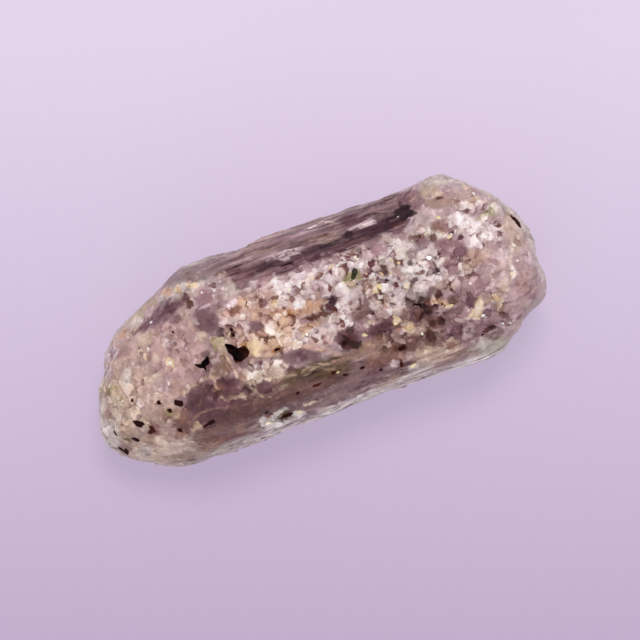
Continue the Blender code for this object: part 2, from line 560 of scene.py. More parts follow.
# %% The stone's colours, as seen, and as light
PALETTE = {
    "white": (250, 243, 244),
    "warm white": (246, 234, 222),
    "quartz": (224, 221, 216),
    "sugar": (230, 216, 219),
    "pale lilac": (213, 195, 198),
    "lilac": (186, 165, 168),
    "rose lilac": (178, 152, 157),
    "pink lilac": (178, 148, 148),
    "pale pink": (196, 171, 162),
    "dusty pink": (170, 140, 134),
    "pink": (200, 166, 157),
    "mauve": (154, 122, 129),
    "mauve grey": (128, 98, 106),
    "grey mauve": (128, 106, 108),
    "plum": (102, 69, 78),
    "dark plum": (68, 41, 54),
    "violet black": (54, 14, 34),
    "maroon": (58, 16, 18),
    "umber": (62, 38, 30),
    "dark brown": (88, 52, 46),
    "plum brown": (108, 82, 79),
    "brown": (128, 90, 80),
    "dust brown": (152, 123, 108),
    "grey brown": (148, 128, 116),
    "olive brown": (88, 70, 48),
    "olive": (150, 142, 92),
    "olive beige": (188, 174, 142),
    "beige": (196, 172, 150),
    "pale beige": (212, 194, 176),
    "tan": (196, 158, 130),
    "peach": (218, 184, 158),
    "orange": (204, 150, 108),
    "amber": (164, 112, 62),
    "cream": (234, 212, 178),
    "gold cream": (240, 222, 176),
    "grey white": (204, 197, 190),
    "grey green": (180, 179, 168),
}
VEIL = 0.018
LEAST_LEFT = 0.35
BYTE = 255


def as_light(colour):
    """Turns a colour as seen, 0 to 255, into amounts of light, by the display curve.

    The curve is a straight line near black, and above that a power of 2.4 with a small offset.
    """
    seen = np.asarray(colour, float) / BYTE
    return np.where(seen <= 0.04045, seen / 12.92, ((seen + 0.055) / 1.055) ** 2.4)


def unveiled(light):
    """Less the veil of white light, but never less than a third or so of what there was."""
    return np.maximum(light - VEIL, light * LEAST_LEFT)


LIGHT = {name: unveiled(as_light(seen)) for name, seen in PALETTE.items()}
print(len(LIGHT), "colours")

# %% [markdown]
# A row is a patch: x, y, reach along, reach across, turn, colour and strength, in millimetres and
# degrees. The places were judged from the photo. A chance pattern of the same colours would
# be shorter, but each of these patches can be seen, and together they make this stone this stone.

# %% Keep the patches by the part of the stone
PATCHES = {}


def keep_patches(part, rows):
    """Files a part's rows under its name, in the order they are laid."""
    PATCHES[part] = rows
    print(len(rows), "patches:", part)


# %% [markdown]
# The narrow end is pale pink to beige, with a grey, quartz-like tip that is painted rim light, a
# painted plum shadow on its upper shoulder and brown stone round the mica. Broad patches come first
# and small ones lie on them.

# %% Narrow end
keep_patches("narrow end", [
    (-13.2, 0.2, 5.2, 5.6, 0, "pale pink", 0.9), (-10.0, 1.6, 2.2, 2.6, 0, "pink lilac", 0.85),
    # Painted rim light: the quartz at x -16.9 pales the edge of the tip.
    (-16.3, -2.2, 1.3, 3.0, -12, "grey brown", 0.6), (-16.9, -2.2, 0.9, 2.0, -5, "quartz", 0.85),
    (-14.6, -3.6, 2.2, 1.9, -25, "grey brown", 0.5), (-13.9, -4.4, 1.2, 0.5, -25, "pale beige", 0.5),
    (-14.6, -2.4, 0.9, 0.6, -25, "pale beige", 0.7), (-15.6, -2.6, 0.5, 0.5, 0, "beige", 0.7),
    (-16.5, -1.4, 0.45, 0.5, 0, "dusty pink", 0.7), (-15.3, -0.9, 1.3, 2.2, -10, "pale beige", 0.6),
    (-15.6, 1.0, 0.9, 1.2, -30, "pale beige", 0.5), (-12.9, -5.3, 2.6, 1.1, -22, "pale beige", 0.6),
    (-13.3, -4.65, 0.6, 0.4, 0, "pale beige", 0.8), (-14.9, -4.9, 0.6, 0.5, -30, "grey white", 0.7),
    (-12.0, -6.3, 3.2, 0.45, -10, "grey brown", 0.75), (-14.6, -5.3, 1.6, 0.5, -35, "pale beige", 0.6),
    (-15.75, 0.3, 0.35, 0.3, 40, "olive", 0.6), (-15.3, -0.55, 0.25, 0.2, 0, "olive", 0.5),
    (-15.6, -3.4, 0.3, 0.3, 0, "olive", 0.35), (-13.9, 2.7, 0.55, 0.4, 20, "dusty pink", 0.7),
    (-14.9, 1.4, 0.5, 0.5, 0, "dusty pink", 0.4), (-13.4, 3.9, 0.45, 0.25, 28, "tan", 0.7),
    (-12.2, 4.55, 0.9, 0.45, 25, "grey white", 0.8), (-11.2, 5.2, 1.4, 0.28, 22, "olive beige", 0.7),
    # Painted shadow on the upper shoulder: the mauve grey, plum and dark plum round x -9.5, y 4.3.
    (-9.2, 5.85, 0.5, 0.34, 10, "peach", 0.9), (-10.1, 4.3, 1.9, 0.5, 12, "mauve grey", 0.95),
    (-9.4, 4.75, 1.1, 0.62, 5, "plum", 0.7), (-9.6, 4.0, 0.8, 0.3, 10, "dark plum", 0.3),
    (-9.2, 3.55, 0.5, 0.3, 0, "plum", 0.6), (-12.0, 3.78, 0.85, 0.17, 14, "plum", 0.9),
    (-11.2, 4.65, 0.6, 0.22, 25, "lilac", 0.8), (-10.55, 3.2, 0.26, 0.5, 0, "mauve", 0.7),
    (-11.95, 3.0, 0.62, 0.48, 0, "pale beige", 0.85), (-14.15, 0.75, 0.68, 0.38, 55, "grey white", 0.8),
    (-12.4, 0.1, 0.42, 0.4, 0, "pale beige", 0.7), (-11.65, 1.35, 0.3, 0.36, 0, "pale beige", 0.7),
    (-10.75, 0.66, 0.24, 0.32, 0, "cream", 0.7), (-12.4, 1.9, 0.14, 0.34, 0, "cream", 0.6),
    (-13.2, -1.2, 1.1, 0.8, 0, "pale pink", 0.6), (-11.6, -0.6, 0.9, 0.7, 0, "rose lilac", 0.6),
    (-11.6, -3.3, 0.7, 0.5, 0, "brown", 0.7), (-12.3, -3.0, 0.35, 0.4, 0, "brown", 0.8),
    (-11.5, -4.3, 0.7, 0.4, -10, "plum brown", 0.9), (-12.0, -2.8, 0.5, 0.45, 0, "dust brown", 0.9),
    (-11.88, -3.15, 0.36, 0.3, 0, "beige", 0.8), (-12.15, -2.7, 0.3, 0.3, 0, "olive", 0.6),
    (-12.5, -4.3, 0.7, 0.5, 0, "dusty pink", 0.6), (-14.7, 2.8, 0.5, 0.6, -50, "sugar", 0.9),
    (-11.2, -1.35, 0.6, 0.45, 0, "dusty pink", 0.85), (-13.85, -3.8, 0.4, 0.4, 0, "dust brown", 0.8),
    (-10.3, 2.45, 0.5, 0.5, 0, "pale lilac", 0.85), (-14.3, -4.2, 0.5, 0.3, -30, "dust brown", 0.7),
    (-13.65, -3.55, 0.4, 0.5, 0, "brown", 0.7), (-15.45, 1.5, 0.4, 0.5, -30, "pale lilac", 0.8),
    (-10.95, -0.9, 0.4, 0.36, 0, "dusty pink", 0.9),
])

# %% [markdown]
# Below the narrow end's middle the stone is deep plum, browner towards the lower edge, with beige
# threads and corners where the plum crystals meet.

# %% Plum body
keep_patches("plum body", [
    (-8.7, -3.2, 3.0, 2.1, -4, "plum", 0.45), (-8.7, -3.2, 2.5, 1.8, -4, "plum", 0.85),
    (-9.5, -3.0, 1.3, 0.9, 0, "dark plum", 0.45), (-8.4, -5.2, 3.0, 1.2, 3, "plum brown", 0.85),
    (-8.7, -4.3, 1.9, 0.4, 0, "dark plum", 0.4), (-6.2, -4.7, 1.8, 0.9, 0, "plum brown", 0.85),
    (-9.2, -5.9, 1.8, 0.4, 4, "brown", 0.6), (-7.6, -5.6, 0.5, 0.4, 0, "dust brown", 0.6),
    (-10.65, -4.4, 0.5, 0.42, 0, "beige", 0.85), (-8.6, -0.9, 1.3, 0.5, 0, "mauve", 0.75),
    (-8.2, -1.2, 0.8, 0.2, 12, "beige", 0.75), (-8.15, -2.0, 0.18, 0.55, 0, "beige", 0.65),
    (-7.3, -2.1, 0.55, 0.5, 0, "plum", 0.8), (-6.9, -3.35, 0.55, 0.12, -5, "pale beige", 0.8),
    (-6.55, -3.65, 0.25, 0.2, 30, "pale beige", 0.75), (-5.9, -3.1, 0.42, 0.28, -38, "dark plum", 0.9),
    (-4.85, -3.4, 0.6, 0.5, 0, "plum", 0.9), (-4.75, -4.2, 0.25, 0.18, -30, "beige", 0.8),
    (-10.2, -1.65, 0.7, 0.16, 8, "beige", 0.8), (-10.9, -2.2, 0.5, 0.5, 0, "mauve", 0.6),
    (-11.5, -3.65, 0.8, 0.34, -5, "plum brown", 0.9), (-11.15, -4.1, 0.6, 0.42, 0, "plum brown", 0.95),
    (-12.0, -4.6, 0.6, 0.34, -10, "brown", 0.7), (-3.95, -3.2, 0.5, 0.22, -5, "brown", 0.7),
    (-12.0, -2.95, 0.42, 0.34, 0, "olive brown", 0.45), (-8.15, -0.25, 0.4, 0.34, 0, "plum", 0.9),
    (-8.0, -2.3, 0.34, 0.3, 0, "brown", 0.85), (-6.9, -1.1, 0.34, 0.3, 0, "brown", 0.8),
    (-7.5, -1.0, 0.6, 0.45, 0, "plum brown", 0.8), (-6.2, -2.15, 0.35, 0.4, 0, "brown", 0.8),
    (-6.8, -0.7, 0.45, 0.4, 0, "plum brown", 0.8), (-8.0, 0.4, 0.3, 0.3, 0, "plum brown", 0.8),
])

# %% [markdown]
# The deep pit has a stained rim: olive and beige on its left, dark crumbs above and amber on its
# right, where iron has weathered out.

# %% Round the pit
keep_patches("round the pit", [
    (-7.8, 1.7, 0.4, 0.3, -20, "pale beige", 0.8), (-6.9, 1.0, 0.42, 0.45, -30, "olive beige", 0.9),
    (-7.25, 0.6, 0.25, 0.2, 0, "olive", 0.7), (-6.75, 0.2, 0.3, 0.4, 0, "olive beige", 0.7),
    (-6.1, 2.0, 0.35, 0.3, 0, "pale lilac", 0.8), (-6.1, 0.95, 0.3, 0.3, 0, "olive brown", 0.6),
    (-6.4, 1.6, 0.26, 0.3, 0, "dark plum", 0.85), (-5.6, 1.25, 0.2, 0.45, 10, "dark brown", 0.9),
    (-5.9, 1.3, 0.12, 0.5, 10, "pale beige", 0.8), (-5.2, 0.12, 0.45, 0.2, -15, "amber", 0.95),
    (-5.9, -1.25, 0.8, 0.22, 0, "plum brown", 0.7), (-7.1, -0.9, 0.4, 0.7, 0, "dust brown", 0.5),
    (-4.9, -0.8, 0.3, 0.3, 0, "peach", 0.8),
])

# %% [markdown]
# The middle is pink and peach with cream crumbs, mauve crystals above it and a pale sugary patch
# below the pit. It is the warmest part of the stone.

# %% Round the middle
keep_patches("round the middle", [
    (-3.4, 1.4, 3.0, 2.4, 0, "pink", 0.95), (-3.2, 0.0, 2.2, 1.1, 0, "peach", 0.75),
    (-7.2, 2.8, 1.0, 1.1, 0, "plum", 0.85), (-7.95, 2.95, 0.2, 0.3, 0, "lilac", 0.8),
    (-6.0, 4.8, 1.3, 0.75, 0, "lilac", 0.8), (-6.7, 4.4, 0.72, 0.6, 0, "mauve", 0.9),
    (-6.7, 3.75, 0.7, 0.1, 0, "pale lilac", 0.7), (-8.0, 4.45, 0.16, 0.45, -20, "dark brown", 0.9),
    (-8.15, 5.05, 0.28, 0.32, 0, "plum", 0.9), (-8.4, 5.62, 0.16, 0.3, 0, "cream", 0.9),
    (-7.3, 5.6, 0.38, 0.28, -30, "cream", 0.9), (-5.0, 5.65, 0.28, 0.14, 0, "cream", 0.9),
    (-6.5, 6.45, 2.8, 0.6, 0, "grey mauve", 0.8), (-7.3, 6.3, 0.6, 0.3, 0, "grey brown", 0.6),
    (-5.3, 1.9, 0.4, 0.5, 0, "pale lilac", 0.8), (-5.0, 2.75, 0.5, 0.38, 0, "brown", 0.95),
    (-4.2, 2.8, 0.32, 0.5, 10, "tan", 0.9), (-4.95, 3.25, 0.6, 0.16, 30, "sugar", 0.85),
    (-4.2, 3.6, 0.5, 0.3, 0, "mauve", 0.6), (-3.0, 4.0, 0.55, 0.35, 20, "pale lilac", 0.85),
    (-3.4, 3.0, 0.5, 0.5, 0, "pale pink", 0.7), (-3.9, 1.0, 0.6, 0.45, 0, "mauve grey", 0.95),
    (-2.7, 2.46, 0.36, 0.24, 20, "plum", 0.95), (-1.9, 2.2, 0.36, 0.15, 0, "cream", 0.85),
    (-2.1, 1.5, 0.7, 0.5, 0, "tan", 0.75), (-3.0, 0.55, 0.4, 0.4, 0, "white", 0.6),
    (-1.15, 1.05, 0.32, 0.36, 0, "amber", 0.85), (-4.45, -0.45, 0.6, 0.65, 0, "cream", 0.95),
    (-2.6, -0.3, 0.7, 0.5, 0, "pale beige", 0.6), (-3.45, 0.14, 0.34, 0.24, 0, "dark brown", 0.85),
    (-3.2, -1.25, 1.4, 0.22, 0, "tan", 0.8), (-3.0, -1.07, 0.24, 0.16, 0, "amber", 0.8),
    (-1.7, -1.2, 0.4, 0.28, 0, "gold cream", 0.9), (-1.25, 3.6, 0.6, 0.6, 0, "sugar", 0.9),
    (-4.4, -2.2, 1.7, 0.6, 0, "pale beige", 0.85), (-5.4, -2.3, 0.4, 0.3, 0, "white", 0.6),
    (-3.3, -2.0, 0.4, 0.3, 0, "white", 0.5), (-4.6, -1.9, 0.4, 0.3, 0, "sugar", 0.7),
    (-4.5, -2.6, 0.4, 0.2, 0, "grey mauve", 0.5), (-4.1, -2.9, 0.8, 0.5, 0, "pale beige", 0.85),
    (-3.8, -2.5, 0.36, 0.3, 0, "dust brown", 0.5), (-2.0, -2.05, 0.95, 0.5, -15, "plum", 0.7),
    (-0.9, -2.2, 0.9, 0.5, -25, "plum", 0.7), (-2.3, -2.9, 0.7, 0.32, -10, "plum brown", 0.85),
    (-1.75, -3.2, 0.7, 0.25, -5, "olive brown", 0.7), (-8.0, -2.3, 0.5, 0.4, 0, "brown", 0.7),
    (1.0, 3.95, 0.6, 0.3, 0, "mauve", 0.7), (-3.8, 0.3, 0.4, 0.35, 0, "brown", 0.8),
    (-3.9, -3.35, 0.5, 0.2, 0, "plum brown", 0.8), (-1.65, 0.75, 0.4, 0.35, 0, "peach", 0.8),
    (-3.5, 1.9, 0.4, 0.4, 0, "peach", 0.7), (-4.5, 1.4, 0.35, 0.35, 0, "pale lilac", 0.8),
    (-4.6, 2.6, 0.5, 0.3, 0, "brown", 0.7), (-1.45, 2.1, 0.4, 0.35, 0, "sugar", 0.8),
    (-1.8, -1.1, 0.5, 0.3, 0, "tan", 0.9), (-3.15, -0.6, 0.45, 0.4, 0, "peach", 0.85),
    (-3.85, 4.3, 0.45, 0.35, 0, "mauve grey", 0.8), (-2.35, 3.9, 0.5, 0.35, 0, "mauve", 0.9),
    (-2.6, 3.75, 0.16, 0.38, -20, "plum", 0.9), (-1.85, -1.13, 0.4, 0.3, 0, "tan", 0.9),
    (-6.17, 3.53, 0.36, 0.3, 0, "mauve", 0.85),
])

# %% [markdown]
# Along the crest lies the sugar: near-white, lilac and mauve grains, with dark brown and plum ones
# in the gaps and an olive stain round the green grain.

# %% Along the crest
keep_patches("crest", [
    (1.8, 2.9, 3.3, 1.2, 0, "pale lilac", 0.8), (4.9, 2.8, 1.5, 1.2, 0, "pale lilac", 0.9),
    (1.1, 3.4, 0.75, 0.5, 0, "sugar", 0.95), (-0.55, 2.95, 0.5, 0.35, 0, "white", 0.85),
    (-0.3, 1.6, 0.5, 0.42, 0, "white", 0.85), (-1.2, 2.7, 0.4, 0.35, 0, "white", 0.7),
    (2.4, 2.0, 0.6, 0.6, 0, "sugar", 0.8), (2.9, 2.9, 0.6, 0.5, 0, "pale lilac", 0.7),
    (0.4, 1.1, 1.3, 0.5, 0, "tan", 0.85), (0.1, -0.3, 0.5, 0.3, 0, "peach", 0.6),
    (-0.1, 0.35, 0.62, 0.17, -20, "dark brown", 0.95), (0.5, 0.15, 0.4, 0.18, -20, "dark brown", 0.9),
    (1.25, 0.2, 0.42, 0.3, 0, "dark brown", 0.9), (2.05, 0.05, 0.35, 0.3, 0, "amber", 0.85),
    (2.2, 0.95, 0.40, 0.32, 0, "dark plum", 0.95), (2.8, 0.2, 0.45, 0.45, 0, "sugar", 0.9),
    (3.4, 0.9, 0.75, 0.65, 0, "sugar", 0.85), (4.5, 1.0, 0.6, 0.5, 0, "lilac", 0.75),
    (3.85, 2.05, 0.5, 0.42, 0, "olive", 0.8), (4.6, 2.1, 0.3, 0.5, 0, "olive", 0.8),
    (0.3, -1.0, 1.6, 0.65, -5, "pale lilac", 0.85), (0.2, -1.5, 0.9, 0.3, -20, "pink", 0.7),
    (2.3, -0.8, 0.6, 0.4, 0, "pale lilac", 0.8), (6.0, 1.0, 1.8, 1.4, 0, "pale lilac", 0.65),
    (6.4, 1.8, 0.6, 0.26, -30, "dark brown", 0.9), (5.8, 0.7, 0.55, 0.32, 0, "cream", 0.7),
    (5.2, 1.3, 0.5, 0.3, 20, "dust brown", 0.7), (7.0, 3.3, 1.3, 0.8, -50, "mauve", 0.6),
    (5.8, 3.4, 0.5, 0.6, 0, "mauve", 0.5), (6.0, -0.4, 1.0, 0.5, 0, "dust brown", 0.5),
    (3.87, -0.86, 0.8, 0.28, 5, "plum brown", 0.95), (4.9, 0.1, 0.5, 0.2, 30, "brown", 0.8),
    (5.9, -0.6, 0.4, 0.2, 0, "brown", 0.8), (6.5, -1.2, 0.9, 0.3, 15, "pale lilac", 0.85),
    (4.3, -1.5, 0.5, 0.2, -10, "sugar", 0.85), (8.6, 3.2, 0.55, 0.45, 0, "sugar", 0.9),
    (9.0, 2.3, 0.5, 0.4, 0, "mauve grey", 0.7), (9.7, 3.1, 0.6, 0.35, -15, "brown", 0.85),
    (9.9, 2.0, 0.75, 0.6, 0, "sugar", 0.95), (8.6, 1.3, 0.7, 0.6, 0, "sugar", 0.85),
    (9.4, -0.1, 1.3, 0.6, -10, "sugar", 0.9), (11.2, -0.35, 0.5, 0.25, -45, "sugar", 0.85),
    (10.7, 1.0, 0.35, 0.35, 0, "white", 0.8), (10.2, 0.45, 0.24, 0.55, 0, "dark plum", 0.95),
    (9.05, 0.55, 0.4, 0.18, 0, "dark brown", 0.9), (8.5, 1.7, 0.28, 0.2, 0, "dark plum", 0.85),
    (8.45, 0.25, 0.3, 0.15, 0, "dark brown", 0.85), (10.0, 1.35, 0.45, 0.12, -20, "plum", 0.8),
    (10.8, 2.8, 0.28, 0.14, 0, "dark brown", 0.85), (8.3, 3.9, 0.6, 0.3, 0, "mauve", 0.7),
    (9.3, 3.9, 0.5, 0.3, 0, "lilac", 0.7), (10.0, 3.7, 0.4, 0.3, 0, "mauve", 0.7),
    (9.25, -1.0, 0.35, 0.3, 0, "mauve grey", 0.8), (11.3, 0.05, 0.5, 0.4, 0, "mauve", 0.8),
    (6.7, -0.5, 0.7, 0.45, 10, "sugar", 0.85), (5.1, -0.55, 0.5, 0.4, 0, "sugar", 0.8),
    (9.7, 0.9, 0.4, 0.3, 0, "mauve", 0.8), (6.05, 2.3, 0.4, 0.35, 0, "pale lilac", 0.85),
    (4.8, -1.55, 0.55, 0.32, 0, "pale pink", 0.9), (3.95, 1.55, 0.45, 0.3, 0, "dust brown", 0.8),
    (5.7, 3.25, 0.45, 0.45, 0, "mauve", 0.7), (3.6, 3.7, 0.5, 0.35, 0, "mauve", 0.7),
    (2.9, 1.0, 0.4, 0.4, 0, "lilac", 0.7), (9.85, 2.6, 0.5, 0.4, 0, "mauve grey", 0.85),
    (3.6, 0.25, 0.5, 0.4, 0, "pale lilac", 0.85), (3.3, 2.45, 0.5, 0.45, 0, "pale lilac", 0.9),
    (7.8, 2.6, 0.45, 0.4, 0, "sugar", 0.8), (6.7, 3.3, 0.6, 0.55, 0, "mauve", 0.9),
    (9.1, -0.45, 0.6, 0.4, 0, "sugar", 0.9), (4.8, 0.65, 0.45, 0.35, 0, "brown", 0.85),
    (1.4, 2.1, 0.35, 0.4, 0, "mauve", 0.8), (7.3, 1.25, 0.45, 0.4, 0, "dusty pink", 0.8),
    (-0.55, -0.35, 0.45, 0.35, 0, "peach", 0.85), (4.9, -1.45, 0.4, 0.3, 0, "pink lilac", 0.9),
    (6.25, 0.45, 0.34, 0.3, 0, "pink lilac", 0.8), (1.2, 1.55, 0.34, 0.3, 0, "dusty pink", 0.85),
    (7.55, 0.75, 0.34, 0.3, 0, "pink lilac", 0.85), (2.8, 1.0, 0.34, 0.26, 0, "pink lilac", 0.7),
    (9.75, 0.9, 0.36, 0.3, 0, "mauve", 0.6),
])

# %% [markdown]
# Below the crest runs a brown and olive band with near-black spots. Under it is a mauve-grey strip,
# and along the lower edge a pale band of quartz and grey green is painted rim light.

# %% Below the crest
keep_patches("below the crest", [
    (-0.7, -3.55, 3.0, 0.8, -3, "olive brown", 0.88), (-2.4, -3.1, 1.3, 0.14, -5, "beige", 0.6),
    (-1.0, -3.45, 0.9, 0.1, -5, "beige", 0.5), (-2.8, -4.6, 4.0, 0.65, 0, "plum brown", 0.97),
    (1.6, -4.6, 2.4, 0.6, -3, "plum brown", 0.8), (0.4, -4.1, 1.6, 0.25, -5, "olive brown", 0.7),
    (4.2, -3.5, 2.4, 0.8, -3, "dust brown", 0.85), (4.6, -4.45, 1.7, 0.6, 0, "brown", 0.85),
    (3.6, -3.2, 1.2, 0.35, -3, "dust brown", 0.7), (5.0, -2.15, 1.7, 0.5, 5, "plum", 0.95),
    (4.8, -2.2, 1.0, 0.3, 5, "dark plum", 0.5), (2.25, -2.1, 0.85, 0.85, 20, "plum", 0.95),
    (2.1, -2.3, 0.6, 0.55, 20, "dark brown", 0.9), (1.9, -2.35, 0.42, 0.32, 0, "maroon", 0.97),
    (2.55, -2.8, 0.5, 0.34, -30, "umber", 0.95), (2.6, -1.6, 0.3, 0.3, 0, "maroon", 0.8),
    (6.75, -2.85, 0.45, 0.34, -20, "cream", 0.85), (6.1, -2.2, 0.26, 0.3, 0, "cream", 0.8),
    (6.7, -3.9, 1.1, 0.5, 0, "brown", 0.85), (5.7, -4.1, 0.5, 0.25, 0, "dark brown", 0.9),
    (7.5, -2.2, 0.6, 0.8, 0, "plum", 0.9), (7.6, -4.4, 2.2, 0.6, 0, "plum brown", 0.85),
    (0.0, -5.6, 9.5, 0.5, 0, "grey mauve", 0.95), (3.2, -5.15, 0.8, 0.25, 5, "plum", 0.8),
    # Painted rim light: the quartz band at y -6.85 and the grey green at y -6.75 pale the lower edge.
    (-0.5, -5.7, 0.6, 0.25, 0, "grey brown", 0.7), (3.0, -6.85, 10.5, 0.42, 0, "quartz", 0.97),
    (-8.5, -6.75, 2.0, 0.3, 0, "grey green", 0.8), (8.1, -5.55, 1.9, 0.55, 0, "pale beige", 0.75),
    (4.8, -4.9, 0.4, 0.25, 0, "pale lilac", 0.7), (6.1, -5.7, 0.4, 0.3, 30, "grey white", 0.8),
    (5.3, -5.25, 0.17, 0.35, -10, "dark brown", 0.9), (-2.1, -5.6, 0.5, 0.18, -5, "pale beige", 0.85),
    (-5.4, -5.95, 0.6, 0.6, 0, "quartz", 0.95), (-4.1, -6.2, 1.2, 0.4, 0, "quartz", 0.85),
    (-4.4, -5.6, 0.7, 0.25, 0, "quartz", 0.8), (-3.1, -6.1, 0.4, 0.3, 0, "quartz", 0.9),
    (-4.2, -5.85, 0.74, 0.34, -5, "olive brown", 0.95), (1.8, -6.2, 0.74, 0.28, 0, "grey mauve", 0.8),
    (0.1, -6.2, 1.2, 0.3, 0, "grey mauve", 0.85), (1.1, -3.45, 0.74, 0.3, -10, "dust brown", 0.97),
    (4.5, -4.0, 0.5, 0.25, 0, "dust brown", 0.9), (-2.2, -6.55, 1.0, 0.2, 0, "grey mauve", 0.7),
    (6.0, -2.6, 0.4, 0.35, 0, "brown", 0.9), (4.55, -4.0, 0.5, 0.3, 0, "dust brown", 0.9),
    (1.3, -3.4, 0.5, 0.3, 0, "dust brown", 0.9), (-3.85, -6.1, 0.42, 0.16, -5, "olive brown", 0.5),
    (0.0, -6.2, 0.7, 0.22, 0, "grey mauve", 0.8), (-2.2, -6.5, 0.5, 0.2, 0, "grey mauve", 0.6),
    (7.6, -2.3, 0.4, 0.34, 0, "brown", 0.85),
])

# %% [markdown]
# The upper strip is a long prism face in greys and mauves. A dark plum streak ends in a violet-black
# wedge, and pale threads run along it. Its darkness is partly its own colour and partly painted
# shade, as on a face that turns away from light from above.

# %% Upper strip
keep_patches("upper strip", [
    (2.5, 6.0, 8.5, 1.0, 0, "grey mauve", 0.97), (1.0, 6.5, 1.6, 0.2, 0, "mauve", 0.5),
    (-1.8, 6.3, 1.5, 0.2, -3, "grey brown", 0.5), (2.8, 6.4, 2.0, 0.12, 0, "lilac", 0.5),
    (2.4, 4.95, 7.4, 0.36, 0, "dark plum", 0.85), (2.0, 4.9, 1.6, 0.2, 0, "violet black", 0.5),
    (2.6, 4.4, 5.6, 0.34, 0, "plum", 0.85), (-3.6, 4.85, 1.0, 0.5, 0, "plum", 0.85),
    (-4.0, 5.4, 0.7, 0.2, 0, "plum", 0.8), (-2.2, 5.1, 1.0, 0.3, -5, "dark plum", 0.7),
    (-0.3, 5.55, 1.7, 0.25, -9, "pale lilac", 0.9), (6.1, 5.55, 1.1, 0.28, 3, "pale lilac", 0.85),
    (3.1, 5.68, 1.4, 0.12, 0, "beige", 0.8), (3.2, 5.28, 1.1, 0.10, -3, "beige", 0.7),
    (8.4, 4.2, 0.6, 0.3, 0, "mauve grey", 0.85), (-3.2, 5.95, 0.9, 0.25, 0, "lilac", 0.5),
    (5.4, 6.2, 0.7, 0.4, 0, "plum", 0.75), (4.9, 5.15, 0.28, 0.5, 0, "violet black", 0.95),
    (2.8, 4.42, 0.4, 0.09, -5, "pale lilac", 0.8), (3.5, 4.25, 0.4, 0.08, -5, "pale lilac", 0.7),
    (7.6, 4.85, 1.9, 0.5, 3, "dark plum", 0.97), (8.6, 4.9, 1.1, 0.4, 10, "violet black", 0.8),
    (8.6, 4.45, 0.9, 0.25, 15, "dark brown", 0.8), (9.75, 5.2, 0.32, 0.5, 42, "violet black", 0.97),
    (9.4, 5.7, 0.28, 0.5, 30, "violet black", 0.97), (9.2, 5.2, 0.5, 0.4, 0, "violet black", 0.9),
    (8.7, 5.9, 0.8, 0.3, 0, "grey mauve", 0.7), (-0.1, 4.62, 0.6, 0.1, 0, "violet black", 0.9),
])
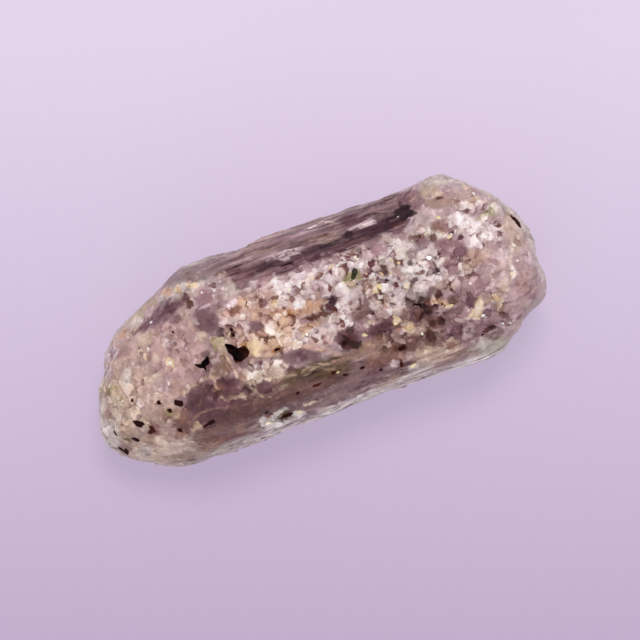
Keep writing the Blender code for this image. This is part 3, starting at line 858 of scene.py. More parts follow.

# %% [markdown]
# The blunt end is rose lilac, with a white sugary cap near its upper corner, plum and brown crystals
# between and cream ones lower down. Its grey, greenish lower edge is painted rim light.

# %% Blunt end
keep_patches("blunt end", [
    (13.6, -0.6, 3.6, 5.0, 0, "rose lilac", 0.9), (12.6, 5.0, 2.2, 1.2, -25, "rose lilac", 0.8),
    (10.5, 5.45, 0.7, 0.5, -30, "mauve", 0.85), (10.5, 4.4, 0.8, 0.6, 0, "lilac", 0.85),
    (11.6, 5.2, 0.7, 0.3, -35, "grey brown", 0.6), (11.7, 1.7, 1.3, 0.66, -32, "mauve", 0.97),
    (12.45, 1.1, 0.5, 0.4, -30, "plum", 0.8), (11.3, 0.4, 0.5, 0.5, 0, "mauve", 0.8),
    (11.6, 3.3, 0.85, 0.42, -25, "brown", 0.85), (11.5, 6.25, 0.9, 0.4, 0, "olive beige", 0.6),
    (12.5, 5.0, 1.2, 0.45, -15, "dust brown", 0.6), (12.16, 5.4, 0.34, 0.2, 0, "dark brown", 0.95),
    (12.1, 5.7, 0.5, 0.25, 0, "pale beige", 0.6), (11.2, 4.8, 0.5, 0.3, -30, "pale lilac", 0.8),
    (10.0, 6.3, 0.7, 0.45, -8, "mauve grey", 0.75), (13.2, 3.3, 0.9, 0.62, -40, "sugar", 0.97),
    (14.2, 2.3, 0.95, 0.7, -35, "sugar", 0.97), (13.7, 2.8, 1.2, 0.45, -38, "white", 0.7),
    (14.8, 1.9, 0.4, 0.4, 0, "white", 0.6), (15.0, 1.7, 0.5, 0.6, -20, "sugar", 0.95),
    (13.45, 1.6, 0.5, 0.42, 0, "sugar", 0.9), (13.9, 4.6, 0.9, 0.5, -45, "pale pink", 0.7),
    (15.3, 3.1, 0.5, 0.3, 20, "olive", 0.75), (14.5, 2.95, 0.3, 0.25, 0, "olive beige", 0.7),
    (13.2, 0.3, 1.0, 0.5, 0, "tan", 0.5), (12.1, -1.5, 1.3, 1.0, 0, "mauve", 0.8),
    (12.5, -0.05, 0.35, 0.5, 10, "dust brown", 0.9), (14.3, -0.55, 0.5, 0.4, 0, "mauve", 0.8),
    (13.9, -1.0, 0.5, 0.35, 20, "pale lilac", 0.8), (13.3, -1.9, 0.6, 0.3, 40, "mauve", 0.7),
    (14.2, -2.7, 0.4, 0.3, 0, "brown", 0.8), (15.2, -0.4, 0.5, 0.8, -25, "pale lilac", 0.7),
    (14.9, -1.7, 0.35, 0.5, -35, "pale lilac", 0.7), (16.7, -0.8, 0.35, 0.6, 0, "pale lilac", 0.8),
    (14.0, -1.2, 0.8, 0.7, 0, "lilac", 0.6), (10.4, -0.95, 0.8, 0.4, -15, "dust brown", 0.8),
    (8.3, -1.8, 0.75, 0.9, 0, "dark brown", 0.9), (8.25, -1.6, 0.4, 0.5, 20, "umber", 0.9),
    (8.5, -2.3, 0.3, 0.3, 0, "maroon", 0.8), (8.5, -3.2, 0.28, 0.22, 0, "umber", 0.95),
    (8.7, -3.2, 0.7, 0.5, 0, "dark brown", 0.8), (9.35, -1.75, 0.42, 0.28, -30, "tan", 0.9),
    (10.0, -2.2, 0.55, 0.2, -20, "peach", 0.9), (10.2, -3.0, 1.1, 0.5, 0, "plum brown", 0.7),
    (11.2, -1.7, 0.4, 0.4, -20, "mauve grey", 0.8), (11.85, -2.65, 0.5, 0.34, -30, "plum", 0.9),
    (12.7, -4.0, 0.3, 0.3, 0, "plum", 0.7), (12.0, -3.45, 0.7, 0.5, 35, "cream", 0.97),
    (11.0, -3.75, 0.4, 0.2, -20, "pale beige", 0.7), (12.05, -3.4, 0.55, 0.38, 35, "warm white", 0.7),
    (10.6, -4.1, 1.6, 0.8, 0, "mauve grey", 0.7), (10.0, -4.3, 0.7, 0.3, 0, "plum", 0.6),
    (9.3, -4.9, 0.5, 0.25, 0, "pale beige", 0.7), (10.3, -6.1, 2.4, 0.35, 2, "grey brown", 0.8),
    (13.6, -3.85, 0.35, 0.6, 15, "dust brown", 0.9), (16.2, -3.0, 1.1, 1.2, 0, "pink lilac", 0.8),
    (16.3, -3.86, 0.4, 0.2, 20, "mauve", 0.9), (14.2, -4.6, 1.2, 0.5, 35, "rose lilac", 0.7),
    (12.4, -4.96, 0.4, 0.25, 0, "dark brown", 0.95), (13.7, -5.1, 0.36, 0.2, -20, "dark brown", 0.7),
    (13.0, -5.5, 0.5, 0.2, 0, "plum brown", 0.7), (11.5, -5.95, 1.0, 0.34, 0, "grey white", 0.95),
    # Painted rim light: the grey green at y -6.4 pales the lower edge.
    (11.4, -4.9, 2.0, 0.5, 5, "mauve grey", 0.9), (12.6, -6.4, 1.8, 0.35, 5, "grey green", 0.8),
    (16.6, 1.2, 0.6, 1.6, 0, "pale beige", 0.6), (15.9, 3.0, 0.4, 0.8, 30, "grey white", 0.6),
    (10.45, -2.15, 0.5, 0.4, 0, "plum brown", 0.95), (12.3, 0.6, 0.4, 0.35, 0, "plum", 0.6),
    (16.8, -2.7, 0.4, 0.6, 0, "lilac", 0.8), (10.3, 6.15, 0.45, 0.3, 0, "dusty pink", 0.7),
    (10.85, -4.7, 0.6, 0.4, 0, "lilac", 0.85), (12.4, -5.7, 0.6, 0.3, 0, "grey mauve", 0.85),
    (14.5, 1.5, 0.45, 0.4, 0, "white", 0.8), (15.3, 1.8, 0.5, 0.6, 0, "sugar", 0.9),
    (12.05, 3.3, 0.5, 0.35, -25, "mauve", 0.8), (13.55, -3.15, 0.35, 0.5, 15, "pale beige", 0.85),
    (9.2, -5.25, 0.45, 0.3, 0, "brown", 0.8), (15.5, 1.45, 0.4, 0.5, 0, "pale lilac", 0.85),
    (13.85, -3.45, 0.4, 0.3, 30, "pale beige", 0.8), (11.1, -3.4, 0.36, 0.3, 0, "mauve", 0.7),
    (11.75, -4.65, 0.4, 0.3, 0, "mauve", 0.85),
])

# %% [markdown]
# A patch that is smaller than a coarse grain is one grain or less, so it keeps its own outline. A
# larger one ends where its grains end, so the two kinds are looked up in different ways.

# %% Part the large patches from the small ones
patches = [patch for group in PATCHES.values() for patch in group]
LEAST_REACH = 0.75
large = [patch for patch in patches if max(patch[2:4]) >= LEAST_REACH]
small = [patch for patch in patches if max(patch[2:4]) < LEAST_REACH]
print(len(large), "large patches and", len(small), "small ones")

# %% [markdown]
# Veins are healed cracks, filled with paler or darker stone, so they run on through the grains they
# meet. Two pale lines along the blunt end's ridge are a painted highlight on the ridge instead. A row
# is a line of straight spans, which are then stirred to make them wander.

# %% Veins: the points they run through, half their width, colour, strength
VEINS_AND_PAINTED_RIDGE_HIGHLIGHT = [
    (
        ((-9.0, 4.0), (-7.0, 0.4), (-6.6, -0.8), (-6.6, -1.5), (-6.1, -2.5), (-5.2, -4.1)),
        0.09, "beige", 0.8,
    ),
    (((-1.3, -1.3), (-0.4, -1.9), (0.4, -2.5), (2.2, -3.7)), 0.22, "pink", 0.9),
    # The next two lines, along the blunt end's ridge, are a painted highlight where it catches the light.
    (((16.1, 0.3), (15.7, -0.8), (15.4, -1.9), (14.4, -2.6)), 0.20, "pale beige", 0.95),
    (((15.9, 0.1), (15.5, -1.4), (15.3, -2.0)), 0.09, "white", 0.9),
    (((14.1, 5.9), (14.5, 5.0), (15.1, 4.0)), 0.14, "cream", 0.8),
    (((12.1, -3.2), (12.5, -2.4), (12.4, -1.6)), 0.10, "beige", 0.9),
    (((12.3, -3.2), (13.4, -2.9), (14.6, -2.0)), 0.10, "beige", 0.8),
    (((1.45, 2.2), (1.5, 1.6), (1.8, 1.25), (2.5, 1.0)), 0.09, "maroon", 0.95),
    (((3.9, 0.1), (5.2, 0.8)), 0.06, "pale lilac", 0.8),
    (((5.0, -1.6), (5.3, -0.2)), 0.06, "cream", 0.8),
    (((10.1, 5.2), (10.9, 4.7), (11.3, 4.9), (12.2, 3.9)), 0.07, "pale pink", 0.6),
    (((1.9, 6.62), (3.4, 6.66), (4.7, 6.58)), 0.07, "warm white", 0.95),
    (((-3.4, -3.0), (-2.2, -3.2), (-0.8, -3.1), (0.4, -3.4)), 0.07, "beige", 0.8),
    (((-2.4, -3.7), (-1.0, -3.5), (0.6, -3.9)), 0.06, "beige", 0.6),
    (((11.9, 6.3), (11.5, 5.9), (11.3, 5.6)), 0.07, "cream", 0.6),
    (((-11.0, -3.9), (-9.0, -3.6), (-7.4, -4.0)), 0.09, "dust brown", 0.8),
    (((-10.6, -1.6), (-9.5, -1.4), (-8.6, -1.2), (-7.9, -0.9)), 0.08, "beige", 0.7),
    (((-8.3, -1.2), (-8.1, -2.4), (-7.9, -3.2), (-6.7, -3.3)), 0.09, "beige", 0.8),
    (((-10.0, -6.2), (-7.6, -6.3), (-6.0, -5.6)), 0.07, "beige", 0.5),
    (((-9.8, -3.0), (-8.9, -1.6)), 0.08, "dust brown", 0.5),
]
print(len(VEINS_AND_PAINTED_RIDGE_HIGHLIGHT), "veins")

# %% [markdown]
# The sugary parts are broken, glassy grains. The streaked parts are prism faces, grown in long
# steps along the prism. Soft ellipses say where each is, and clouds carry both round to the sides
# and the base, so the stone is as finished underneath.

# %% Look up soft ellipses and lines
SUGARY = [
    (-1.2, 0.9, 5.6, 3.1, 0, 0.72), (5.6, 1.0, 5.6, 3.0, 0, 1.0), (9.5, 0.6, 3.6, 3.4, 0, 0.9),
    (13.9, 2.3, 2.2, 2.6, -15, 0.75), (12.2, -3.6, 3.2, 2.0, 0, 0.5), (-4.4, -2.3, 1.7, 1.0, 0, 0.6),
    (-7.8, -1.8, 2.2, 1.9, 0, 0.35), (-6.3, 4.6, 2.6, 1.2, 0, 0.5), (-12.6, 1.0, 3.8, 4.0, 0, 0.28),
    (-15.2, -2.6, 2.0, 2.6, 0, 0.32), (7.2, -3.0, 3.4, 1.4, 0, 0.65), (-4.6, -6.0, 1.7, 0.7, 0, 0.6),
]
STREAKED = [
    (2.3, 5.9, 8.2, 1.9, 0, 1.0), (-9.6, 4.6, 2.8, 0.8, 12, 0.4), (-0.8, -4.2, 4.6, 1.5, 0, 0.42),
    (5.0, -5.9, 6.6, 1.0, 0, 0.45), (-8.6, -5.4, 3.2, 1.6, 3, 0.40), (0.0, -7.0, 14.0, 1.0, 0, 0.6),
    (8.5, 4.9, 1.6, 1.0, 5, 0.9),
]
SMOOTH = [
    (11.7, 1.7, 1.3, 0.66, -32, 1.0), (11.6, 3.3, 0.85, 0.42, -25, 1.0),
    (-6.7, 4.4, 0.75, 0.65, 0, 1.0), (-7.2, 2.8, 0.95, 1.05, 0, 0.9), (-3.9, 1.0, 0.6, 0.45, 0, 1.0),
    (-4.45, -0.45, 0.6, 0.65, 0, 0.9), (-2.0, -2.05, 0.9, 0.5, -15, 0.9),
    (-0.9, -2.1, 0.9, 0.5, -25, 0.9), (0.6, 0.2, 1.2, 0.34, -8, 1.0), (0.4, 1.1, 1.2, 0.45, 0, 0.8),
    (6.8, -0.6, 0.6, 0.45, 0, 0.8), (-1.6, 0.7, 0.4, 0.35, 0, 0.8), (-3.1, -0.5, 0.4, 0.35, 0, 0.8),
    (-11.9, -3.0, 0.6, 0.6, 0, 0.8), (2.15, 0.93, 0.46, 0.36, 0, 1.0), (3.87, -0.86, 0.8, 0.28, 5, 1.0),
    (10.5, 4.9, 0.9, 0.9, 0, 0.8), (-10.1, 4.3, 1.9, 0.6, 12, 0.8), (-12.0, 3.78, 0.85, 0.2, 14, 0.8),
    (13.7, 2.8, 1.3, 0.6, -38, 0.6), (14.8, 1.9, 0.4, 0.4, 0, 0.6), (9.9, 2.0, 0.7, 0.55, 0, 0.5),
    (1.1, 3.4, 0.75, 0.5, 0, 0.5), (5.0, -2.15, 1.5, 0.4, 5, 0.5), (12.0, -3.45, 0.6, 0.46, 35, 0.6),
    (3.3, 2.5, 0.5, 0.5, 0, 1.0), (14.5, 1.5, 0.45, 0.4, 0, 0.8), (-11.9, 2.9, 0.6, 0.5, 0, 0.8),
    (-3.5, 2.0, 0.4, 0.4, 0, 0.8), (5.1, -0.55, 0.5, 0.4, 0, 0.8), (9.1, -0.4, 0.6, 0.4, 0, 0.8),
    (-0.5, -0.4, 0.45, 0.35, 0, 0.8), (3.55, 0.25, 0.5, 0.4, 0, 0.8), (6.7, 3.3, 0.6, 0.55, 0, 0.7),
    (9.85, 2.6, 0.5, 0.4, 0, 0.7),
]


# A point that is nearer the camera looks further out, and the places were judged by how it looks.
DISTANCE = 178.0
WIDEST = 5.5


def as_read(points):
    """Points spread out in plan by their height over the widest level, as a share of the distance."""
    spread = 1 + (points[:, 2] - WIDEST) / DISTANCE
    return points * np.stack((spread, spread, np.ones(len(points))), axis=1)


SOFT_EDGE = (0.80, 1.20)


def inside(points, patch):
    """1 in the middle of a soft ellipse, one half at its edge, and 0 a fifth as far out again.

    The point is turned into the ellipse's own axes and divided by its reaches there.
    """
    x, y, along, across, turn = patch[:5]
    turn = math.radians(turn)
    dx, dy = points[:, 0] - x, points[:, 1] - y
    u = (dx * math.cos(turn) + dy * math.sin(turn)) / along
    v = (dy * math.cos(turn) - dx * math.sin(turn)) / across
    return 1 - eased(np.hypot(u, v), *SOFT_EDGE)


def strongest(points, patches):
    """The strongest of several soft ellipses at each point."""
    return np.max([inside(points, patch) * patch[5] for patch in patches], axis=0)


def away_from_line(points, line):
    """The distance in plan to the nearest point of a line of straight spans."""
    line = np.array(line, float)
    start, span = line[:-1], np.diff(line, axis=0)
    from_start = points[:, None, :2] - start
    share = np.clip((from_start * span).sum(axis=2) / (span**2).sum(axis=1), 0, 1)
    return np.linalg.norm(from_start - share[..., None] * span, axis=2).min(axis=1)


# %% [markdown]
# The upper side has the places judged from the photo, and the sides and base have clouds of the
# same kinds. How far a point faces up shares it between the two. Where the stone is calm, its
# grains are of one colour, so their own chance tones and relief die down.

# %% Share the skin out
# Each pair of marks is where an eased share starts and where it is full.
UPPER_FACING = (-0.25, 0.15)
SUGAR_CLOUD = (-0.02, 0.22)
STREAK_CLOUD = (-0.25, 0.10)
ENDS = (11.5, 15.5)
SIDE_SUGAR = 0.9
SIDE_STREAKS = 0.8
SUGAR_LOST_TO_CALM = 0.5
upper = eased(rest_normals[:, 2], *UPPER_FACING)
loose = stirred(as_read(rest), 1.3, 0.28, 100)
side_sugar = eased(billows(rest, 4.5, 120), *SUGAR_CLOUD) * SIDE_SUGAR
side_streak = eased(billows(rest * (0.4, 1, 1), 3.0, 130), *STREAK_CLOUD) * SIDE_STREAKS
side_streak *= 1 - eased(np.abs(rest[:, 0]), *ENDS)
sugar = upper * strongest(loose, SUGARY) + (1 - upper) * side_sugar
calm = upper * strongest(as_read(stirred(rest, 0.6, 0.13, 345)), SMOOTH)
sugar *= 1 - SUGAR_LOST_TO_CALM * calm
streak = upper * strongest(loose, STREAKED) + (1 - upper) * side_streak * (1 - side_sugar)
print("sugary share", sugar.mean().round(2), "streaked share", streak.mean().round(2))

# %% [markdown]
# A colour is laid on by mixing: the patch's colour by its share, what was there by the rest. Later
# patches therefore cover earlier ones. The sides have clouds in place of patches, also in turn.

# %% Colour a point by the patches it lies in
def side_colour(points):
    """A pale lilac grey, with clouds of pinker, plum, beige, white and brown stone laid over it.

    Each cloud's share runs from 0 where its noise is at the low mark to its strength at the high.
    """
    colour = np.tile(LIGHT["lilac"], (len(points), 1))
    clouds = (
        ("pale pink", 6.0, 200, 0.00, 0.30, 0.8),
        ("mauve", 4.5, 210, 0.05, 0.25, 0.8),
        ("beige", 3.6, 220, 0.12, 0.32, 0.7),
        ("grey white", 3.2, 230, 0.05, 0.30, 0.8),
        ("plum brown", 5.0, 240, 0.12, 0.32, 0.7),
    )
    for name, size, seed, low, high, strength in clouds:
        share = eased(billows(points, size, seed), low, high)[:, None] * strength
        colour += share * (LIGHT[name] - colour)
    return colour


def patched(colour, points, some_patches, facing_up):
    """The colour, with some patches of the upper side laid over it in turn, each by its share."""
    read = as_read(points)
    for patch in some_patches:
        share = (inside(read, patch) * patch[6] * facing_up)[:, None]
        colour = colour + share * (LIGHT[patch[5]] - colour)
    return colour


side = side_colour(rest[rest_normals[:, 2] < 0])
print("mean colour of the sides and base, as light:", side.mean(axis=0).round(3))

# %% [markdown]
# A grain is of one colour, so its colour is looked up once, at its seed. Looked up only there, the
# patches would have edges as coarse as the grains. So the colour is mostly that of the seeds, with
# some of the point's own, and the small patches go on after that with fine, wandering edges.

# %% Put the colours together
# Shares of the whole grain's colour, the crumb's and the point's own where the stone is blocky, and
# of the long grain's and the point's own where it is drawn out.
BLOCKY_SHARES = (0.10, 0.55, 0.35)
DRAWN_SHARES = (0.55, 0.45)
CALMING = 0.8
TO_SEED = 0.4
# Each pair of marks is where an eased share starts and where it is full.
DRAWN_OUT = (0.2, 0.75)
VEIN_EDGE = (0.6, 1.4)
RIM_FACING = (0.10, 0.42)
LONG_SIDE = (0.2, 0.5)
LONG_SIDE_ENDS = (9, 11)


def seeds(name):
    """The grains' seeds: their places less the shift, times the stretch."""
    size, stir, stretch, shift = GRAINS[name]
    return (grain[name, "seed"] - (shift, 0, 0)) * (stretch, 1, 1)


coarse_draw, fine_draw, drawn_draw = (grain[name, "draw"] for name in GRAINS)
drawn = eased(1.2 * streak - 0.7 * sugar + 0.25 * cloud(rest, 0.8, 330), *DRAWN_OUT)
looked_up = [stirred(seeds(name), 1.3, 0.12, 340) for name in GRAINS]
looked_up.append(stirred(rest, 0.6, 0.13, 345))
laid = (patched(side_colour(at), at, large, upper) for at in looked_up)
whole, crumbs, streaks, own_place = laid
blocky = sum(share * colour for share, colour in zip(BLOCKY_SHARES, (whole, crumbs, own_place)))
blocky += CALMING * calm[:, None] * (own_place - blocky)
lengthwise = DRAWN_SHARES[0] * streaks + DRAWN_SHARES[1] * own_place
mineral = blocky + drawn[:, None] * (lengthwise - blocky)
cornered = rest + TO_SEED * (seeds("fine") - rest)
wandering = stirred(stirred(cornered, 0.5, 0.14, 355), 0.22, 0.07, 356)
mineral = patched(mineral, wandering, small, upper)
wavy = as_read(stirred(stirred(rest, 0.8, 0.12, 350), 0.4, 0.12, 352))
for line, half_width, colour, strength in VEINS_AND_PAINTED_RIDGE_HIGHLIGHT:
    share = 1 - eased(away_from_line(wavy, line) / half_width, *VEIN_EDGE)
    share *= upper * strength * (0.65 + 0.9 * cloud(rest, 0.5, 360)).clip(0, 1)
    mineral += share[:, None] * (LIGHT[colour] - mineral)
# Painted rim light: where the upper side turns down, the colour goes to a grey white that stands in
# for light glancing off and shining through the thin edge. The middle of the long side at positive y
# is left out.
edge = upper * (1 - eased(rest_normals[:, 2] + 0.10 * billows(rest, 1.5, 370), *RIM_FACING))
middle = 1 - eased(np.abs(rest[:, 0] + 1), *LONG_SIDE_ENDS)
edge *= 1 - eased(rest_normals[:, 1], *LONG_SIDE) * middle
edge *= 0.70 + 0.35 * billows(rest, 2.5, 380)
mineral += edge[:, None] * (LIGHT["grey white"] - mineral)
print("mean colour, as light:", mineral.mean(axis=0).round(3))

# %% [markdown]
# ## Relief
#
# Mica flakes lie flat in the skin, so the skin is level round each of them. Their places come first,
# because the relief has to leave room for them.

# %% Where the mica lies: x, y, reach along, reach across, turn
MICA = [
    (-14.55, -2.75, 0.48, 0.27, -25), (-13.72, -3.45, 0.20, 0.40, 15), (-14.00, -3.65, 0.17, 0.32, -35),
    (-15.10, -3.78, 0.32, 0.22, -30), (-16.43, -2.85, 0.11, 0.26, 0), (-16.42, -4.10, 0.18, 0.42, 25),
    (-16.12, -4.35, 0.17, 0.50, -20), (-12.60, -1.73, 0.21, 0.15, -30), (-11.25, -2.32, 0.37, 0.24, -28),
    (-12.07, -2.62, 0.20, 0.20, 0), (-14.42, -0.97, 0.14, 0.12, 30), (-11.80, -4.20, 0.16, 0.22, 0),
    (-9.50, -4.45, 0.34, 0.16, 22), (-9.92, -4.62, 0.28, 0.11, 30), (-9.78, 2.77, 0.08, 0.12, 30),
    (-5.65, 1.15, 0.12, 0.22, 20), (-5.70, 1.50, 0.12, 0.14, 0), (-3.00, -1.05, 0.22, 0.13, 0),
    (1.95, -2.35, 0.20, 0.17, 0), (-0.20, 4.62, 0.50, 0.07, 0), (-1.10, -4.55, 0.32, 0.12, -5),
    (0.35, -4.10, 0.19, 0.15, 20), (1.20, -4.60, 0.18, 0.12, 0), (2.50, -4.55, 0.22, 0.12, 0),
    (-2.60, -4.70, 0.16, 0.09, 0), (-5.35, -5.22, 0.18, 0.09, 10), (-4.10, -5.95, 0.46, 0.20, -5),
    (-6.15, -6.88, 0.28, 0.08, 0), (5.75, -4.15, 0.28, 0.19, 0), (5.30, -5.25, 0.12, 0.28, -10),
    (3.70, -5.15, 0.12, 0.12, 0), (16.85, 2.15, 0.16, 0.26, 20), (17.02, 1.70, 0.30, 0.48, 12),
    (11.70, -5.25, 0.13, 0.10, 0),
]
print(len(MICA), "mica flakes to place")

# %% [markdown]
# Each sugary grain broke along its own cleavage, so its face is a small plane with its own tilt and
# height. Drawn-out grains stand a little above or below each other, as steps along the prism. A
# bump in the finish would look alike from above, but these grains also have to show at the rim.

# %% Raise and tilt the grains
# A coarse grain whose third draw is over this range is broken into fine ones: about seven in ten.
BREAKS_AT = (0.25, 0.35)
COARSE_TILT = 0.36
FINE_TILT = 0.50
GRAIN_STEP = 0.16
DRAWN_STEP = 0.14
LEAST_RELIEF = 0.15
SUGAR_RELIEF = 0.75
# A point that faces down is put this much too far away to be under a flake.
NEVER_NEAR = 9
broken = eased(coarse_draw[:, 2], *BREAKS_AT)
coarse_height = COARSE_TILT * grain["coarse", "lean"][:, 0] + GRAIN_STEP * (coarse_draw[:, 0] - 0.5)
fine_height = FINE_TILT * grain["fine", "lean"][:, 0] + GRAIN_STEP * (fine_draw[:, 0] - 0.5)
drawn_height = DRAWN_STEP * (drawn_draw[:, 1] - 0.5)
smooth = 0.05 * billows(rest, 0.9, 400) + 0.12 * billows(rest, 2.4, 410)
blocky_height = coarse_height + broken * fine_height
raised = (LEAST_RELIEF + SUGAR_RELIEF * sugar) * blocky_height * (1 - drawn) * (1 - CALMING * calm)
height = smooth + raised + drawn * drawn_height
read = as_read(rest)
for x, y, along, across, turn in MICA:
    away = np.hypot(read[:, 0] - x, read[:, 1] - y) + NEVER_NEAR * (rest_normals[:, 2] < 0)
    level = 1 - eased(away / max(along, across), 0.9, 1.6)
    height += level * (height[away.argmin()] - height)
print("relief of the grains, mm:", height.min().round(2), height.max().round(2))

# %% [markdown]
# ## Pits
#
# Two pits show on the upper side, one ragged and deep, one like a small bird. Their black is partly
# the dark left where mica weathered out and partly painted shade of the deep hollows. Each is an
# outline, and the skin drops steeply inside it.

# %% Sink the pits
DEEP_PIT = (
    (-6.55, 0.60), (-6.05, 0.48), (-5.60, 0.05), (-5.14, 0.08), (-5.00, -0.35),
    (-5.30, -0.84), (-5.76, -1.00), (-6.28, -0.95), (-6.25, -0.50), (-6.50, 0.00),
)
BIRD_PIT = (
    (-9.22, 0.02), (-8.72, -0.16), (-8.48, 0.02), (-8.05, 0.30), (-7.90, 0.02),
    (-8.15, -0.38), (-8.40, -0.46), (-8.52, -0.88), (-8.64, -0.46), (-8.95, -0.38),
)
PIT_DEPTH = 0.9
PIT_WALL = (-0.05, 0.30)
FAR_FROM_PIT = 0.4
# Only points over this height are tried, in mm, so that the base has no pits.
PIT_LEVEL = 6


def depth_inside(points, outline):
    """The distance to an outline in plan, over 0 inside it and under 0 outside.

    A point is inside when a level line from it crosses the outline an odd number of times.
    """
    closed = np.array((*outline, outline[0]))
    x, y = points[:, 0, None], points[:, 1, None]
    (x0, y0), (x1, y1) = closed[:-1].T, closed[1:].T
    spans = (y0 > y) != (y1 > y)
    with np.errstate(divide="ignore", invalid="ignore"):
        crossing = x0 + (y - y0) / (y1 - y0) * (x1 - x0)
    odd = (spans & (x < crossing)).sum(axis=1) % 2
    return away_from_line(points, closed) * np.where(odd == 1, 1, -1)


ragged = as_read(stirred(rest, 0.28, 0.07, 420))
pit = np.maximum(depth_inside(ragged, DEEP_PIT), depth_inside(ragged, BIRD_PIT))
pit = np.where(rest[:, 2] > PIT_LEVEL, np.clip(pit, -FAR_FROM_PIT, FAR_FROM_PIT), -FAR_FROM_PIT)
height -= PIT_DEPTH * eased(pit, *PIT_WALL)
print("points in the pits:", (pit > 0).sum())

# %% [markdown]
# The skin's points move along their own normals by the relief, which dies out towards the level
# base. The mesh keeps each point's place at rest and what it is made of, and the finish reads those.

# %% Move the skin and build the mesh
HEIGHT_RANGE = (-0.95, 0.24)
BASE_BLEND = 1.2
height = np.clip(height, *HEIGHT_RANGE) * eased(rest[:, 2], 0.0, BASE_BLEND)
skin = rest + rest_normals * height[:, None]
skin[:, 2] = np.maximum(skin[:, 2], 0)
stone = mesh_piece("stone_skin", skin, (quads, fans))
kept = {"rest": rest, "mineral": np.clip(mineral, 0, 1), "sugar": sugar, "drawn": drawn}
for name, values in {**kept, "calm": calm, "pit": pit}.items():
    give(stone, name, values)
print("relief, mm:", height.min().round(2), height.max().round(2))

# %% [markdown]
# ## The stone's finish
#
# The mesh carries the colour of the patch that each grain lies in. The finish makes each grain paler
# or plummier than its patch, paints a pale and a shaded side on it by its tilt, and paints shade into
# the gaps between grains. Specks of cream and maroon lie between. Hair-fine lines run along the
# drawn-out faces. A little light goes under the skin, because the stone is translucent, not clear.

# %% Tints
def new_finish(name):
    """A material with a Principled shader: the material, its tree and the shader's sockets."""
    material = bpy.data.materials.new(name)
    material.use_nodes = True
    return material, material.node_tree, material.node_tree.nodes["Principled BSDF"].inputs


def set_plain(shader, **values):
    """Sets constants on the shader's own sockets, whose names have spaces for underscores."""
    for name, value in values.items():
        shader[name.replace("_", " ")].default_value = value


def attribute(tree, name, out="Fac"):
    """Reads what a piece keeps at each point: a number, or with out Vector three of them."""
    return add_node(tree, "ShaderNodeAttribute", out=out, attribute_name=name)


def noise(at, scale, detail=3.0, roughness=0.6):
    """Noise from about -1 to 1, with the given number of features to a millimetre."""
    inputs = {"Vector": at, "Scale": scale, "Detail": detail, "Roughness": roughness}
    return at.node("ShaderNodeTexNoise", inputs) * 4.0 - 2.0


# Each pair is for the cool and the warm grains: near white, the deepest tint, and the hue's lean.
PALEST = ((*LIGHT["white"], 1.0), (*LIGHT["warm white"], 1.0))
DEEPEST = ((0.25, 0.115, 0.155, 1.0), (0.32, 0.14, 0.085, 1.0))
LEANINGS = ((0.98, 0.95, 0.975, 1.0), (1.03, 1.00, 0.87, 1.0))


def tinted(colour, tone, warmth, frost):
    """Paler by a tone over 0, deeper by one under 0. Warmth leans both from lilac to brown.

    Without frost the paler colour is a brighter one of the same hue, and with it, near white.
    """
    leaning = colour * blend(*LEANINGS, warmth)
    icy = frost * colour.part(1).ramp(0.08, 0.40, 0.1, 1.0)
    pale = (leaning * 1.9 + (0.02, 0.012, 0.010)).mix(blend(*PALEST, warmth), icy)
    paler = leaning.mix(pale, tone.above(0.0) * 0.8)
    return paler.mix(paler * blend(*DEEPEST, warmth), (tone * -1.0).above(0.0))


print("pale, deep and leaning tints:", PALEST, DEEPEST, LEANINGS)

# %% [markdown]
# The tone says how much paler or deeper a point is than its patch. Where the stone is blocky it
# comes from the grain's own draw and from painted shade by its tilt, less painted shade in the gaps.
# Where the stone is drawn out it comes from hairs and bands along the prism. Specks, dust and
# mottling go over both.

# %% The stone's tone
SPECKS = (0.26, 0.10, 1.0, 120.0)
SPECK_AT = (0.90, 0.96)
# How strongly each kind of grain's draw counts, and its tilt, which paints shade across it.
WHOLE_TONE = (0.65, 0.5)
CRUMB_TONE = (0.95, 1.2)


def signed(draw):
    """A draw from 0 to 1, spread over -1 to 1."""
    return draw * 2.0 - 1.0


def blocky_tone(at, coarse, fine, broken, sugar, rough):
    """Whole grains plus crumbs, sorted into near white, plain and deep, less painted shade in the gaps."""
    # The tilt term is painted shade: each grain paler on one side and deeper on the other.
    whole = signed(coarse["draw"].part(0)) * WHOLE_TONE[0] + coarse["lean"] * WHOLE_TONE[1]
    crumb = signed(fine["draw"].part(0)) * CRUMB_TONE[0] + fine["lean"] * CRUMB_TONE[1]
    block = whole * (1 - broken * 0.6) + crumb * broken
    # Most grains keep near their patch's colour; some are near white, and a fifth are deep.
    block = block.ramp(-0.95, -0.35, -1.0, 0.0) + block.ramp(0.1, 0.9)
    # Painted shade: darker along the borders between the grains.
    edge = at.node("ShaderNodeTexVoronoi", fine["cells"], feature="DISTANCE_TO_EDGE")
    painted_gap_shade = edge.ramp(0.02, 0.15, 1.0, 0.0) * noise(at, 1.3).ramp(0.0, 0.5)
    tone = block * (sugar * 0.74 + 0.26) * rough
    return tone - painted_gap_shade * sugar.ramp(0.5, 0.95) * rough * 0.4 + noise(at, 0.45) * sugar * 0.20


def drawn_tone(at, long, hairs):
    """The long grain's draw, the hairs and some broad bands, by their shares."""
    bands = noise(at * (0.12, 1.0, 1.0), 1.8, 3.0, 0.6)
    return signed(long["draw"].part(0)) * 0.50 + hairs * 0.42 + bands * 0.60


def speck_tone(specks, sugar):
    """Cream specks where one draw is high, less dark ones where another is, mostly in the sugar."""
    dark = specks.part(1).ramp(0.945, 0.975) * sugar.ramp(0.3, 0.8, 0.3, 1.1)
    return specks.part(0).ramp(*SPECK_AT) * 0.8 - dark


print("shares of draw and tilt:", WHOLE_TONE, CRUMB_TONE)

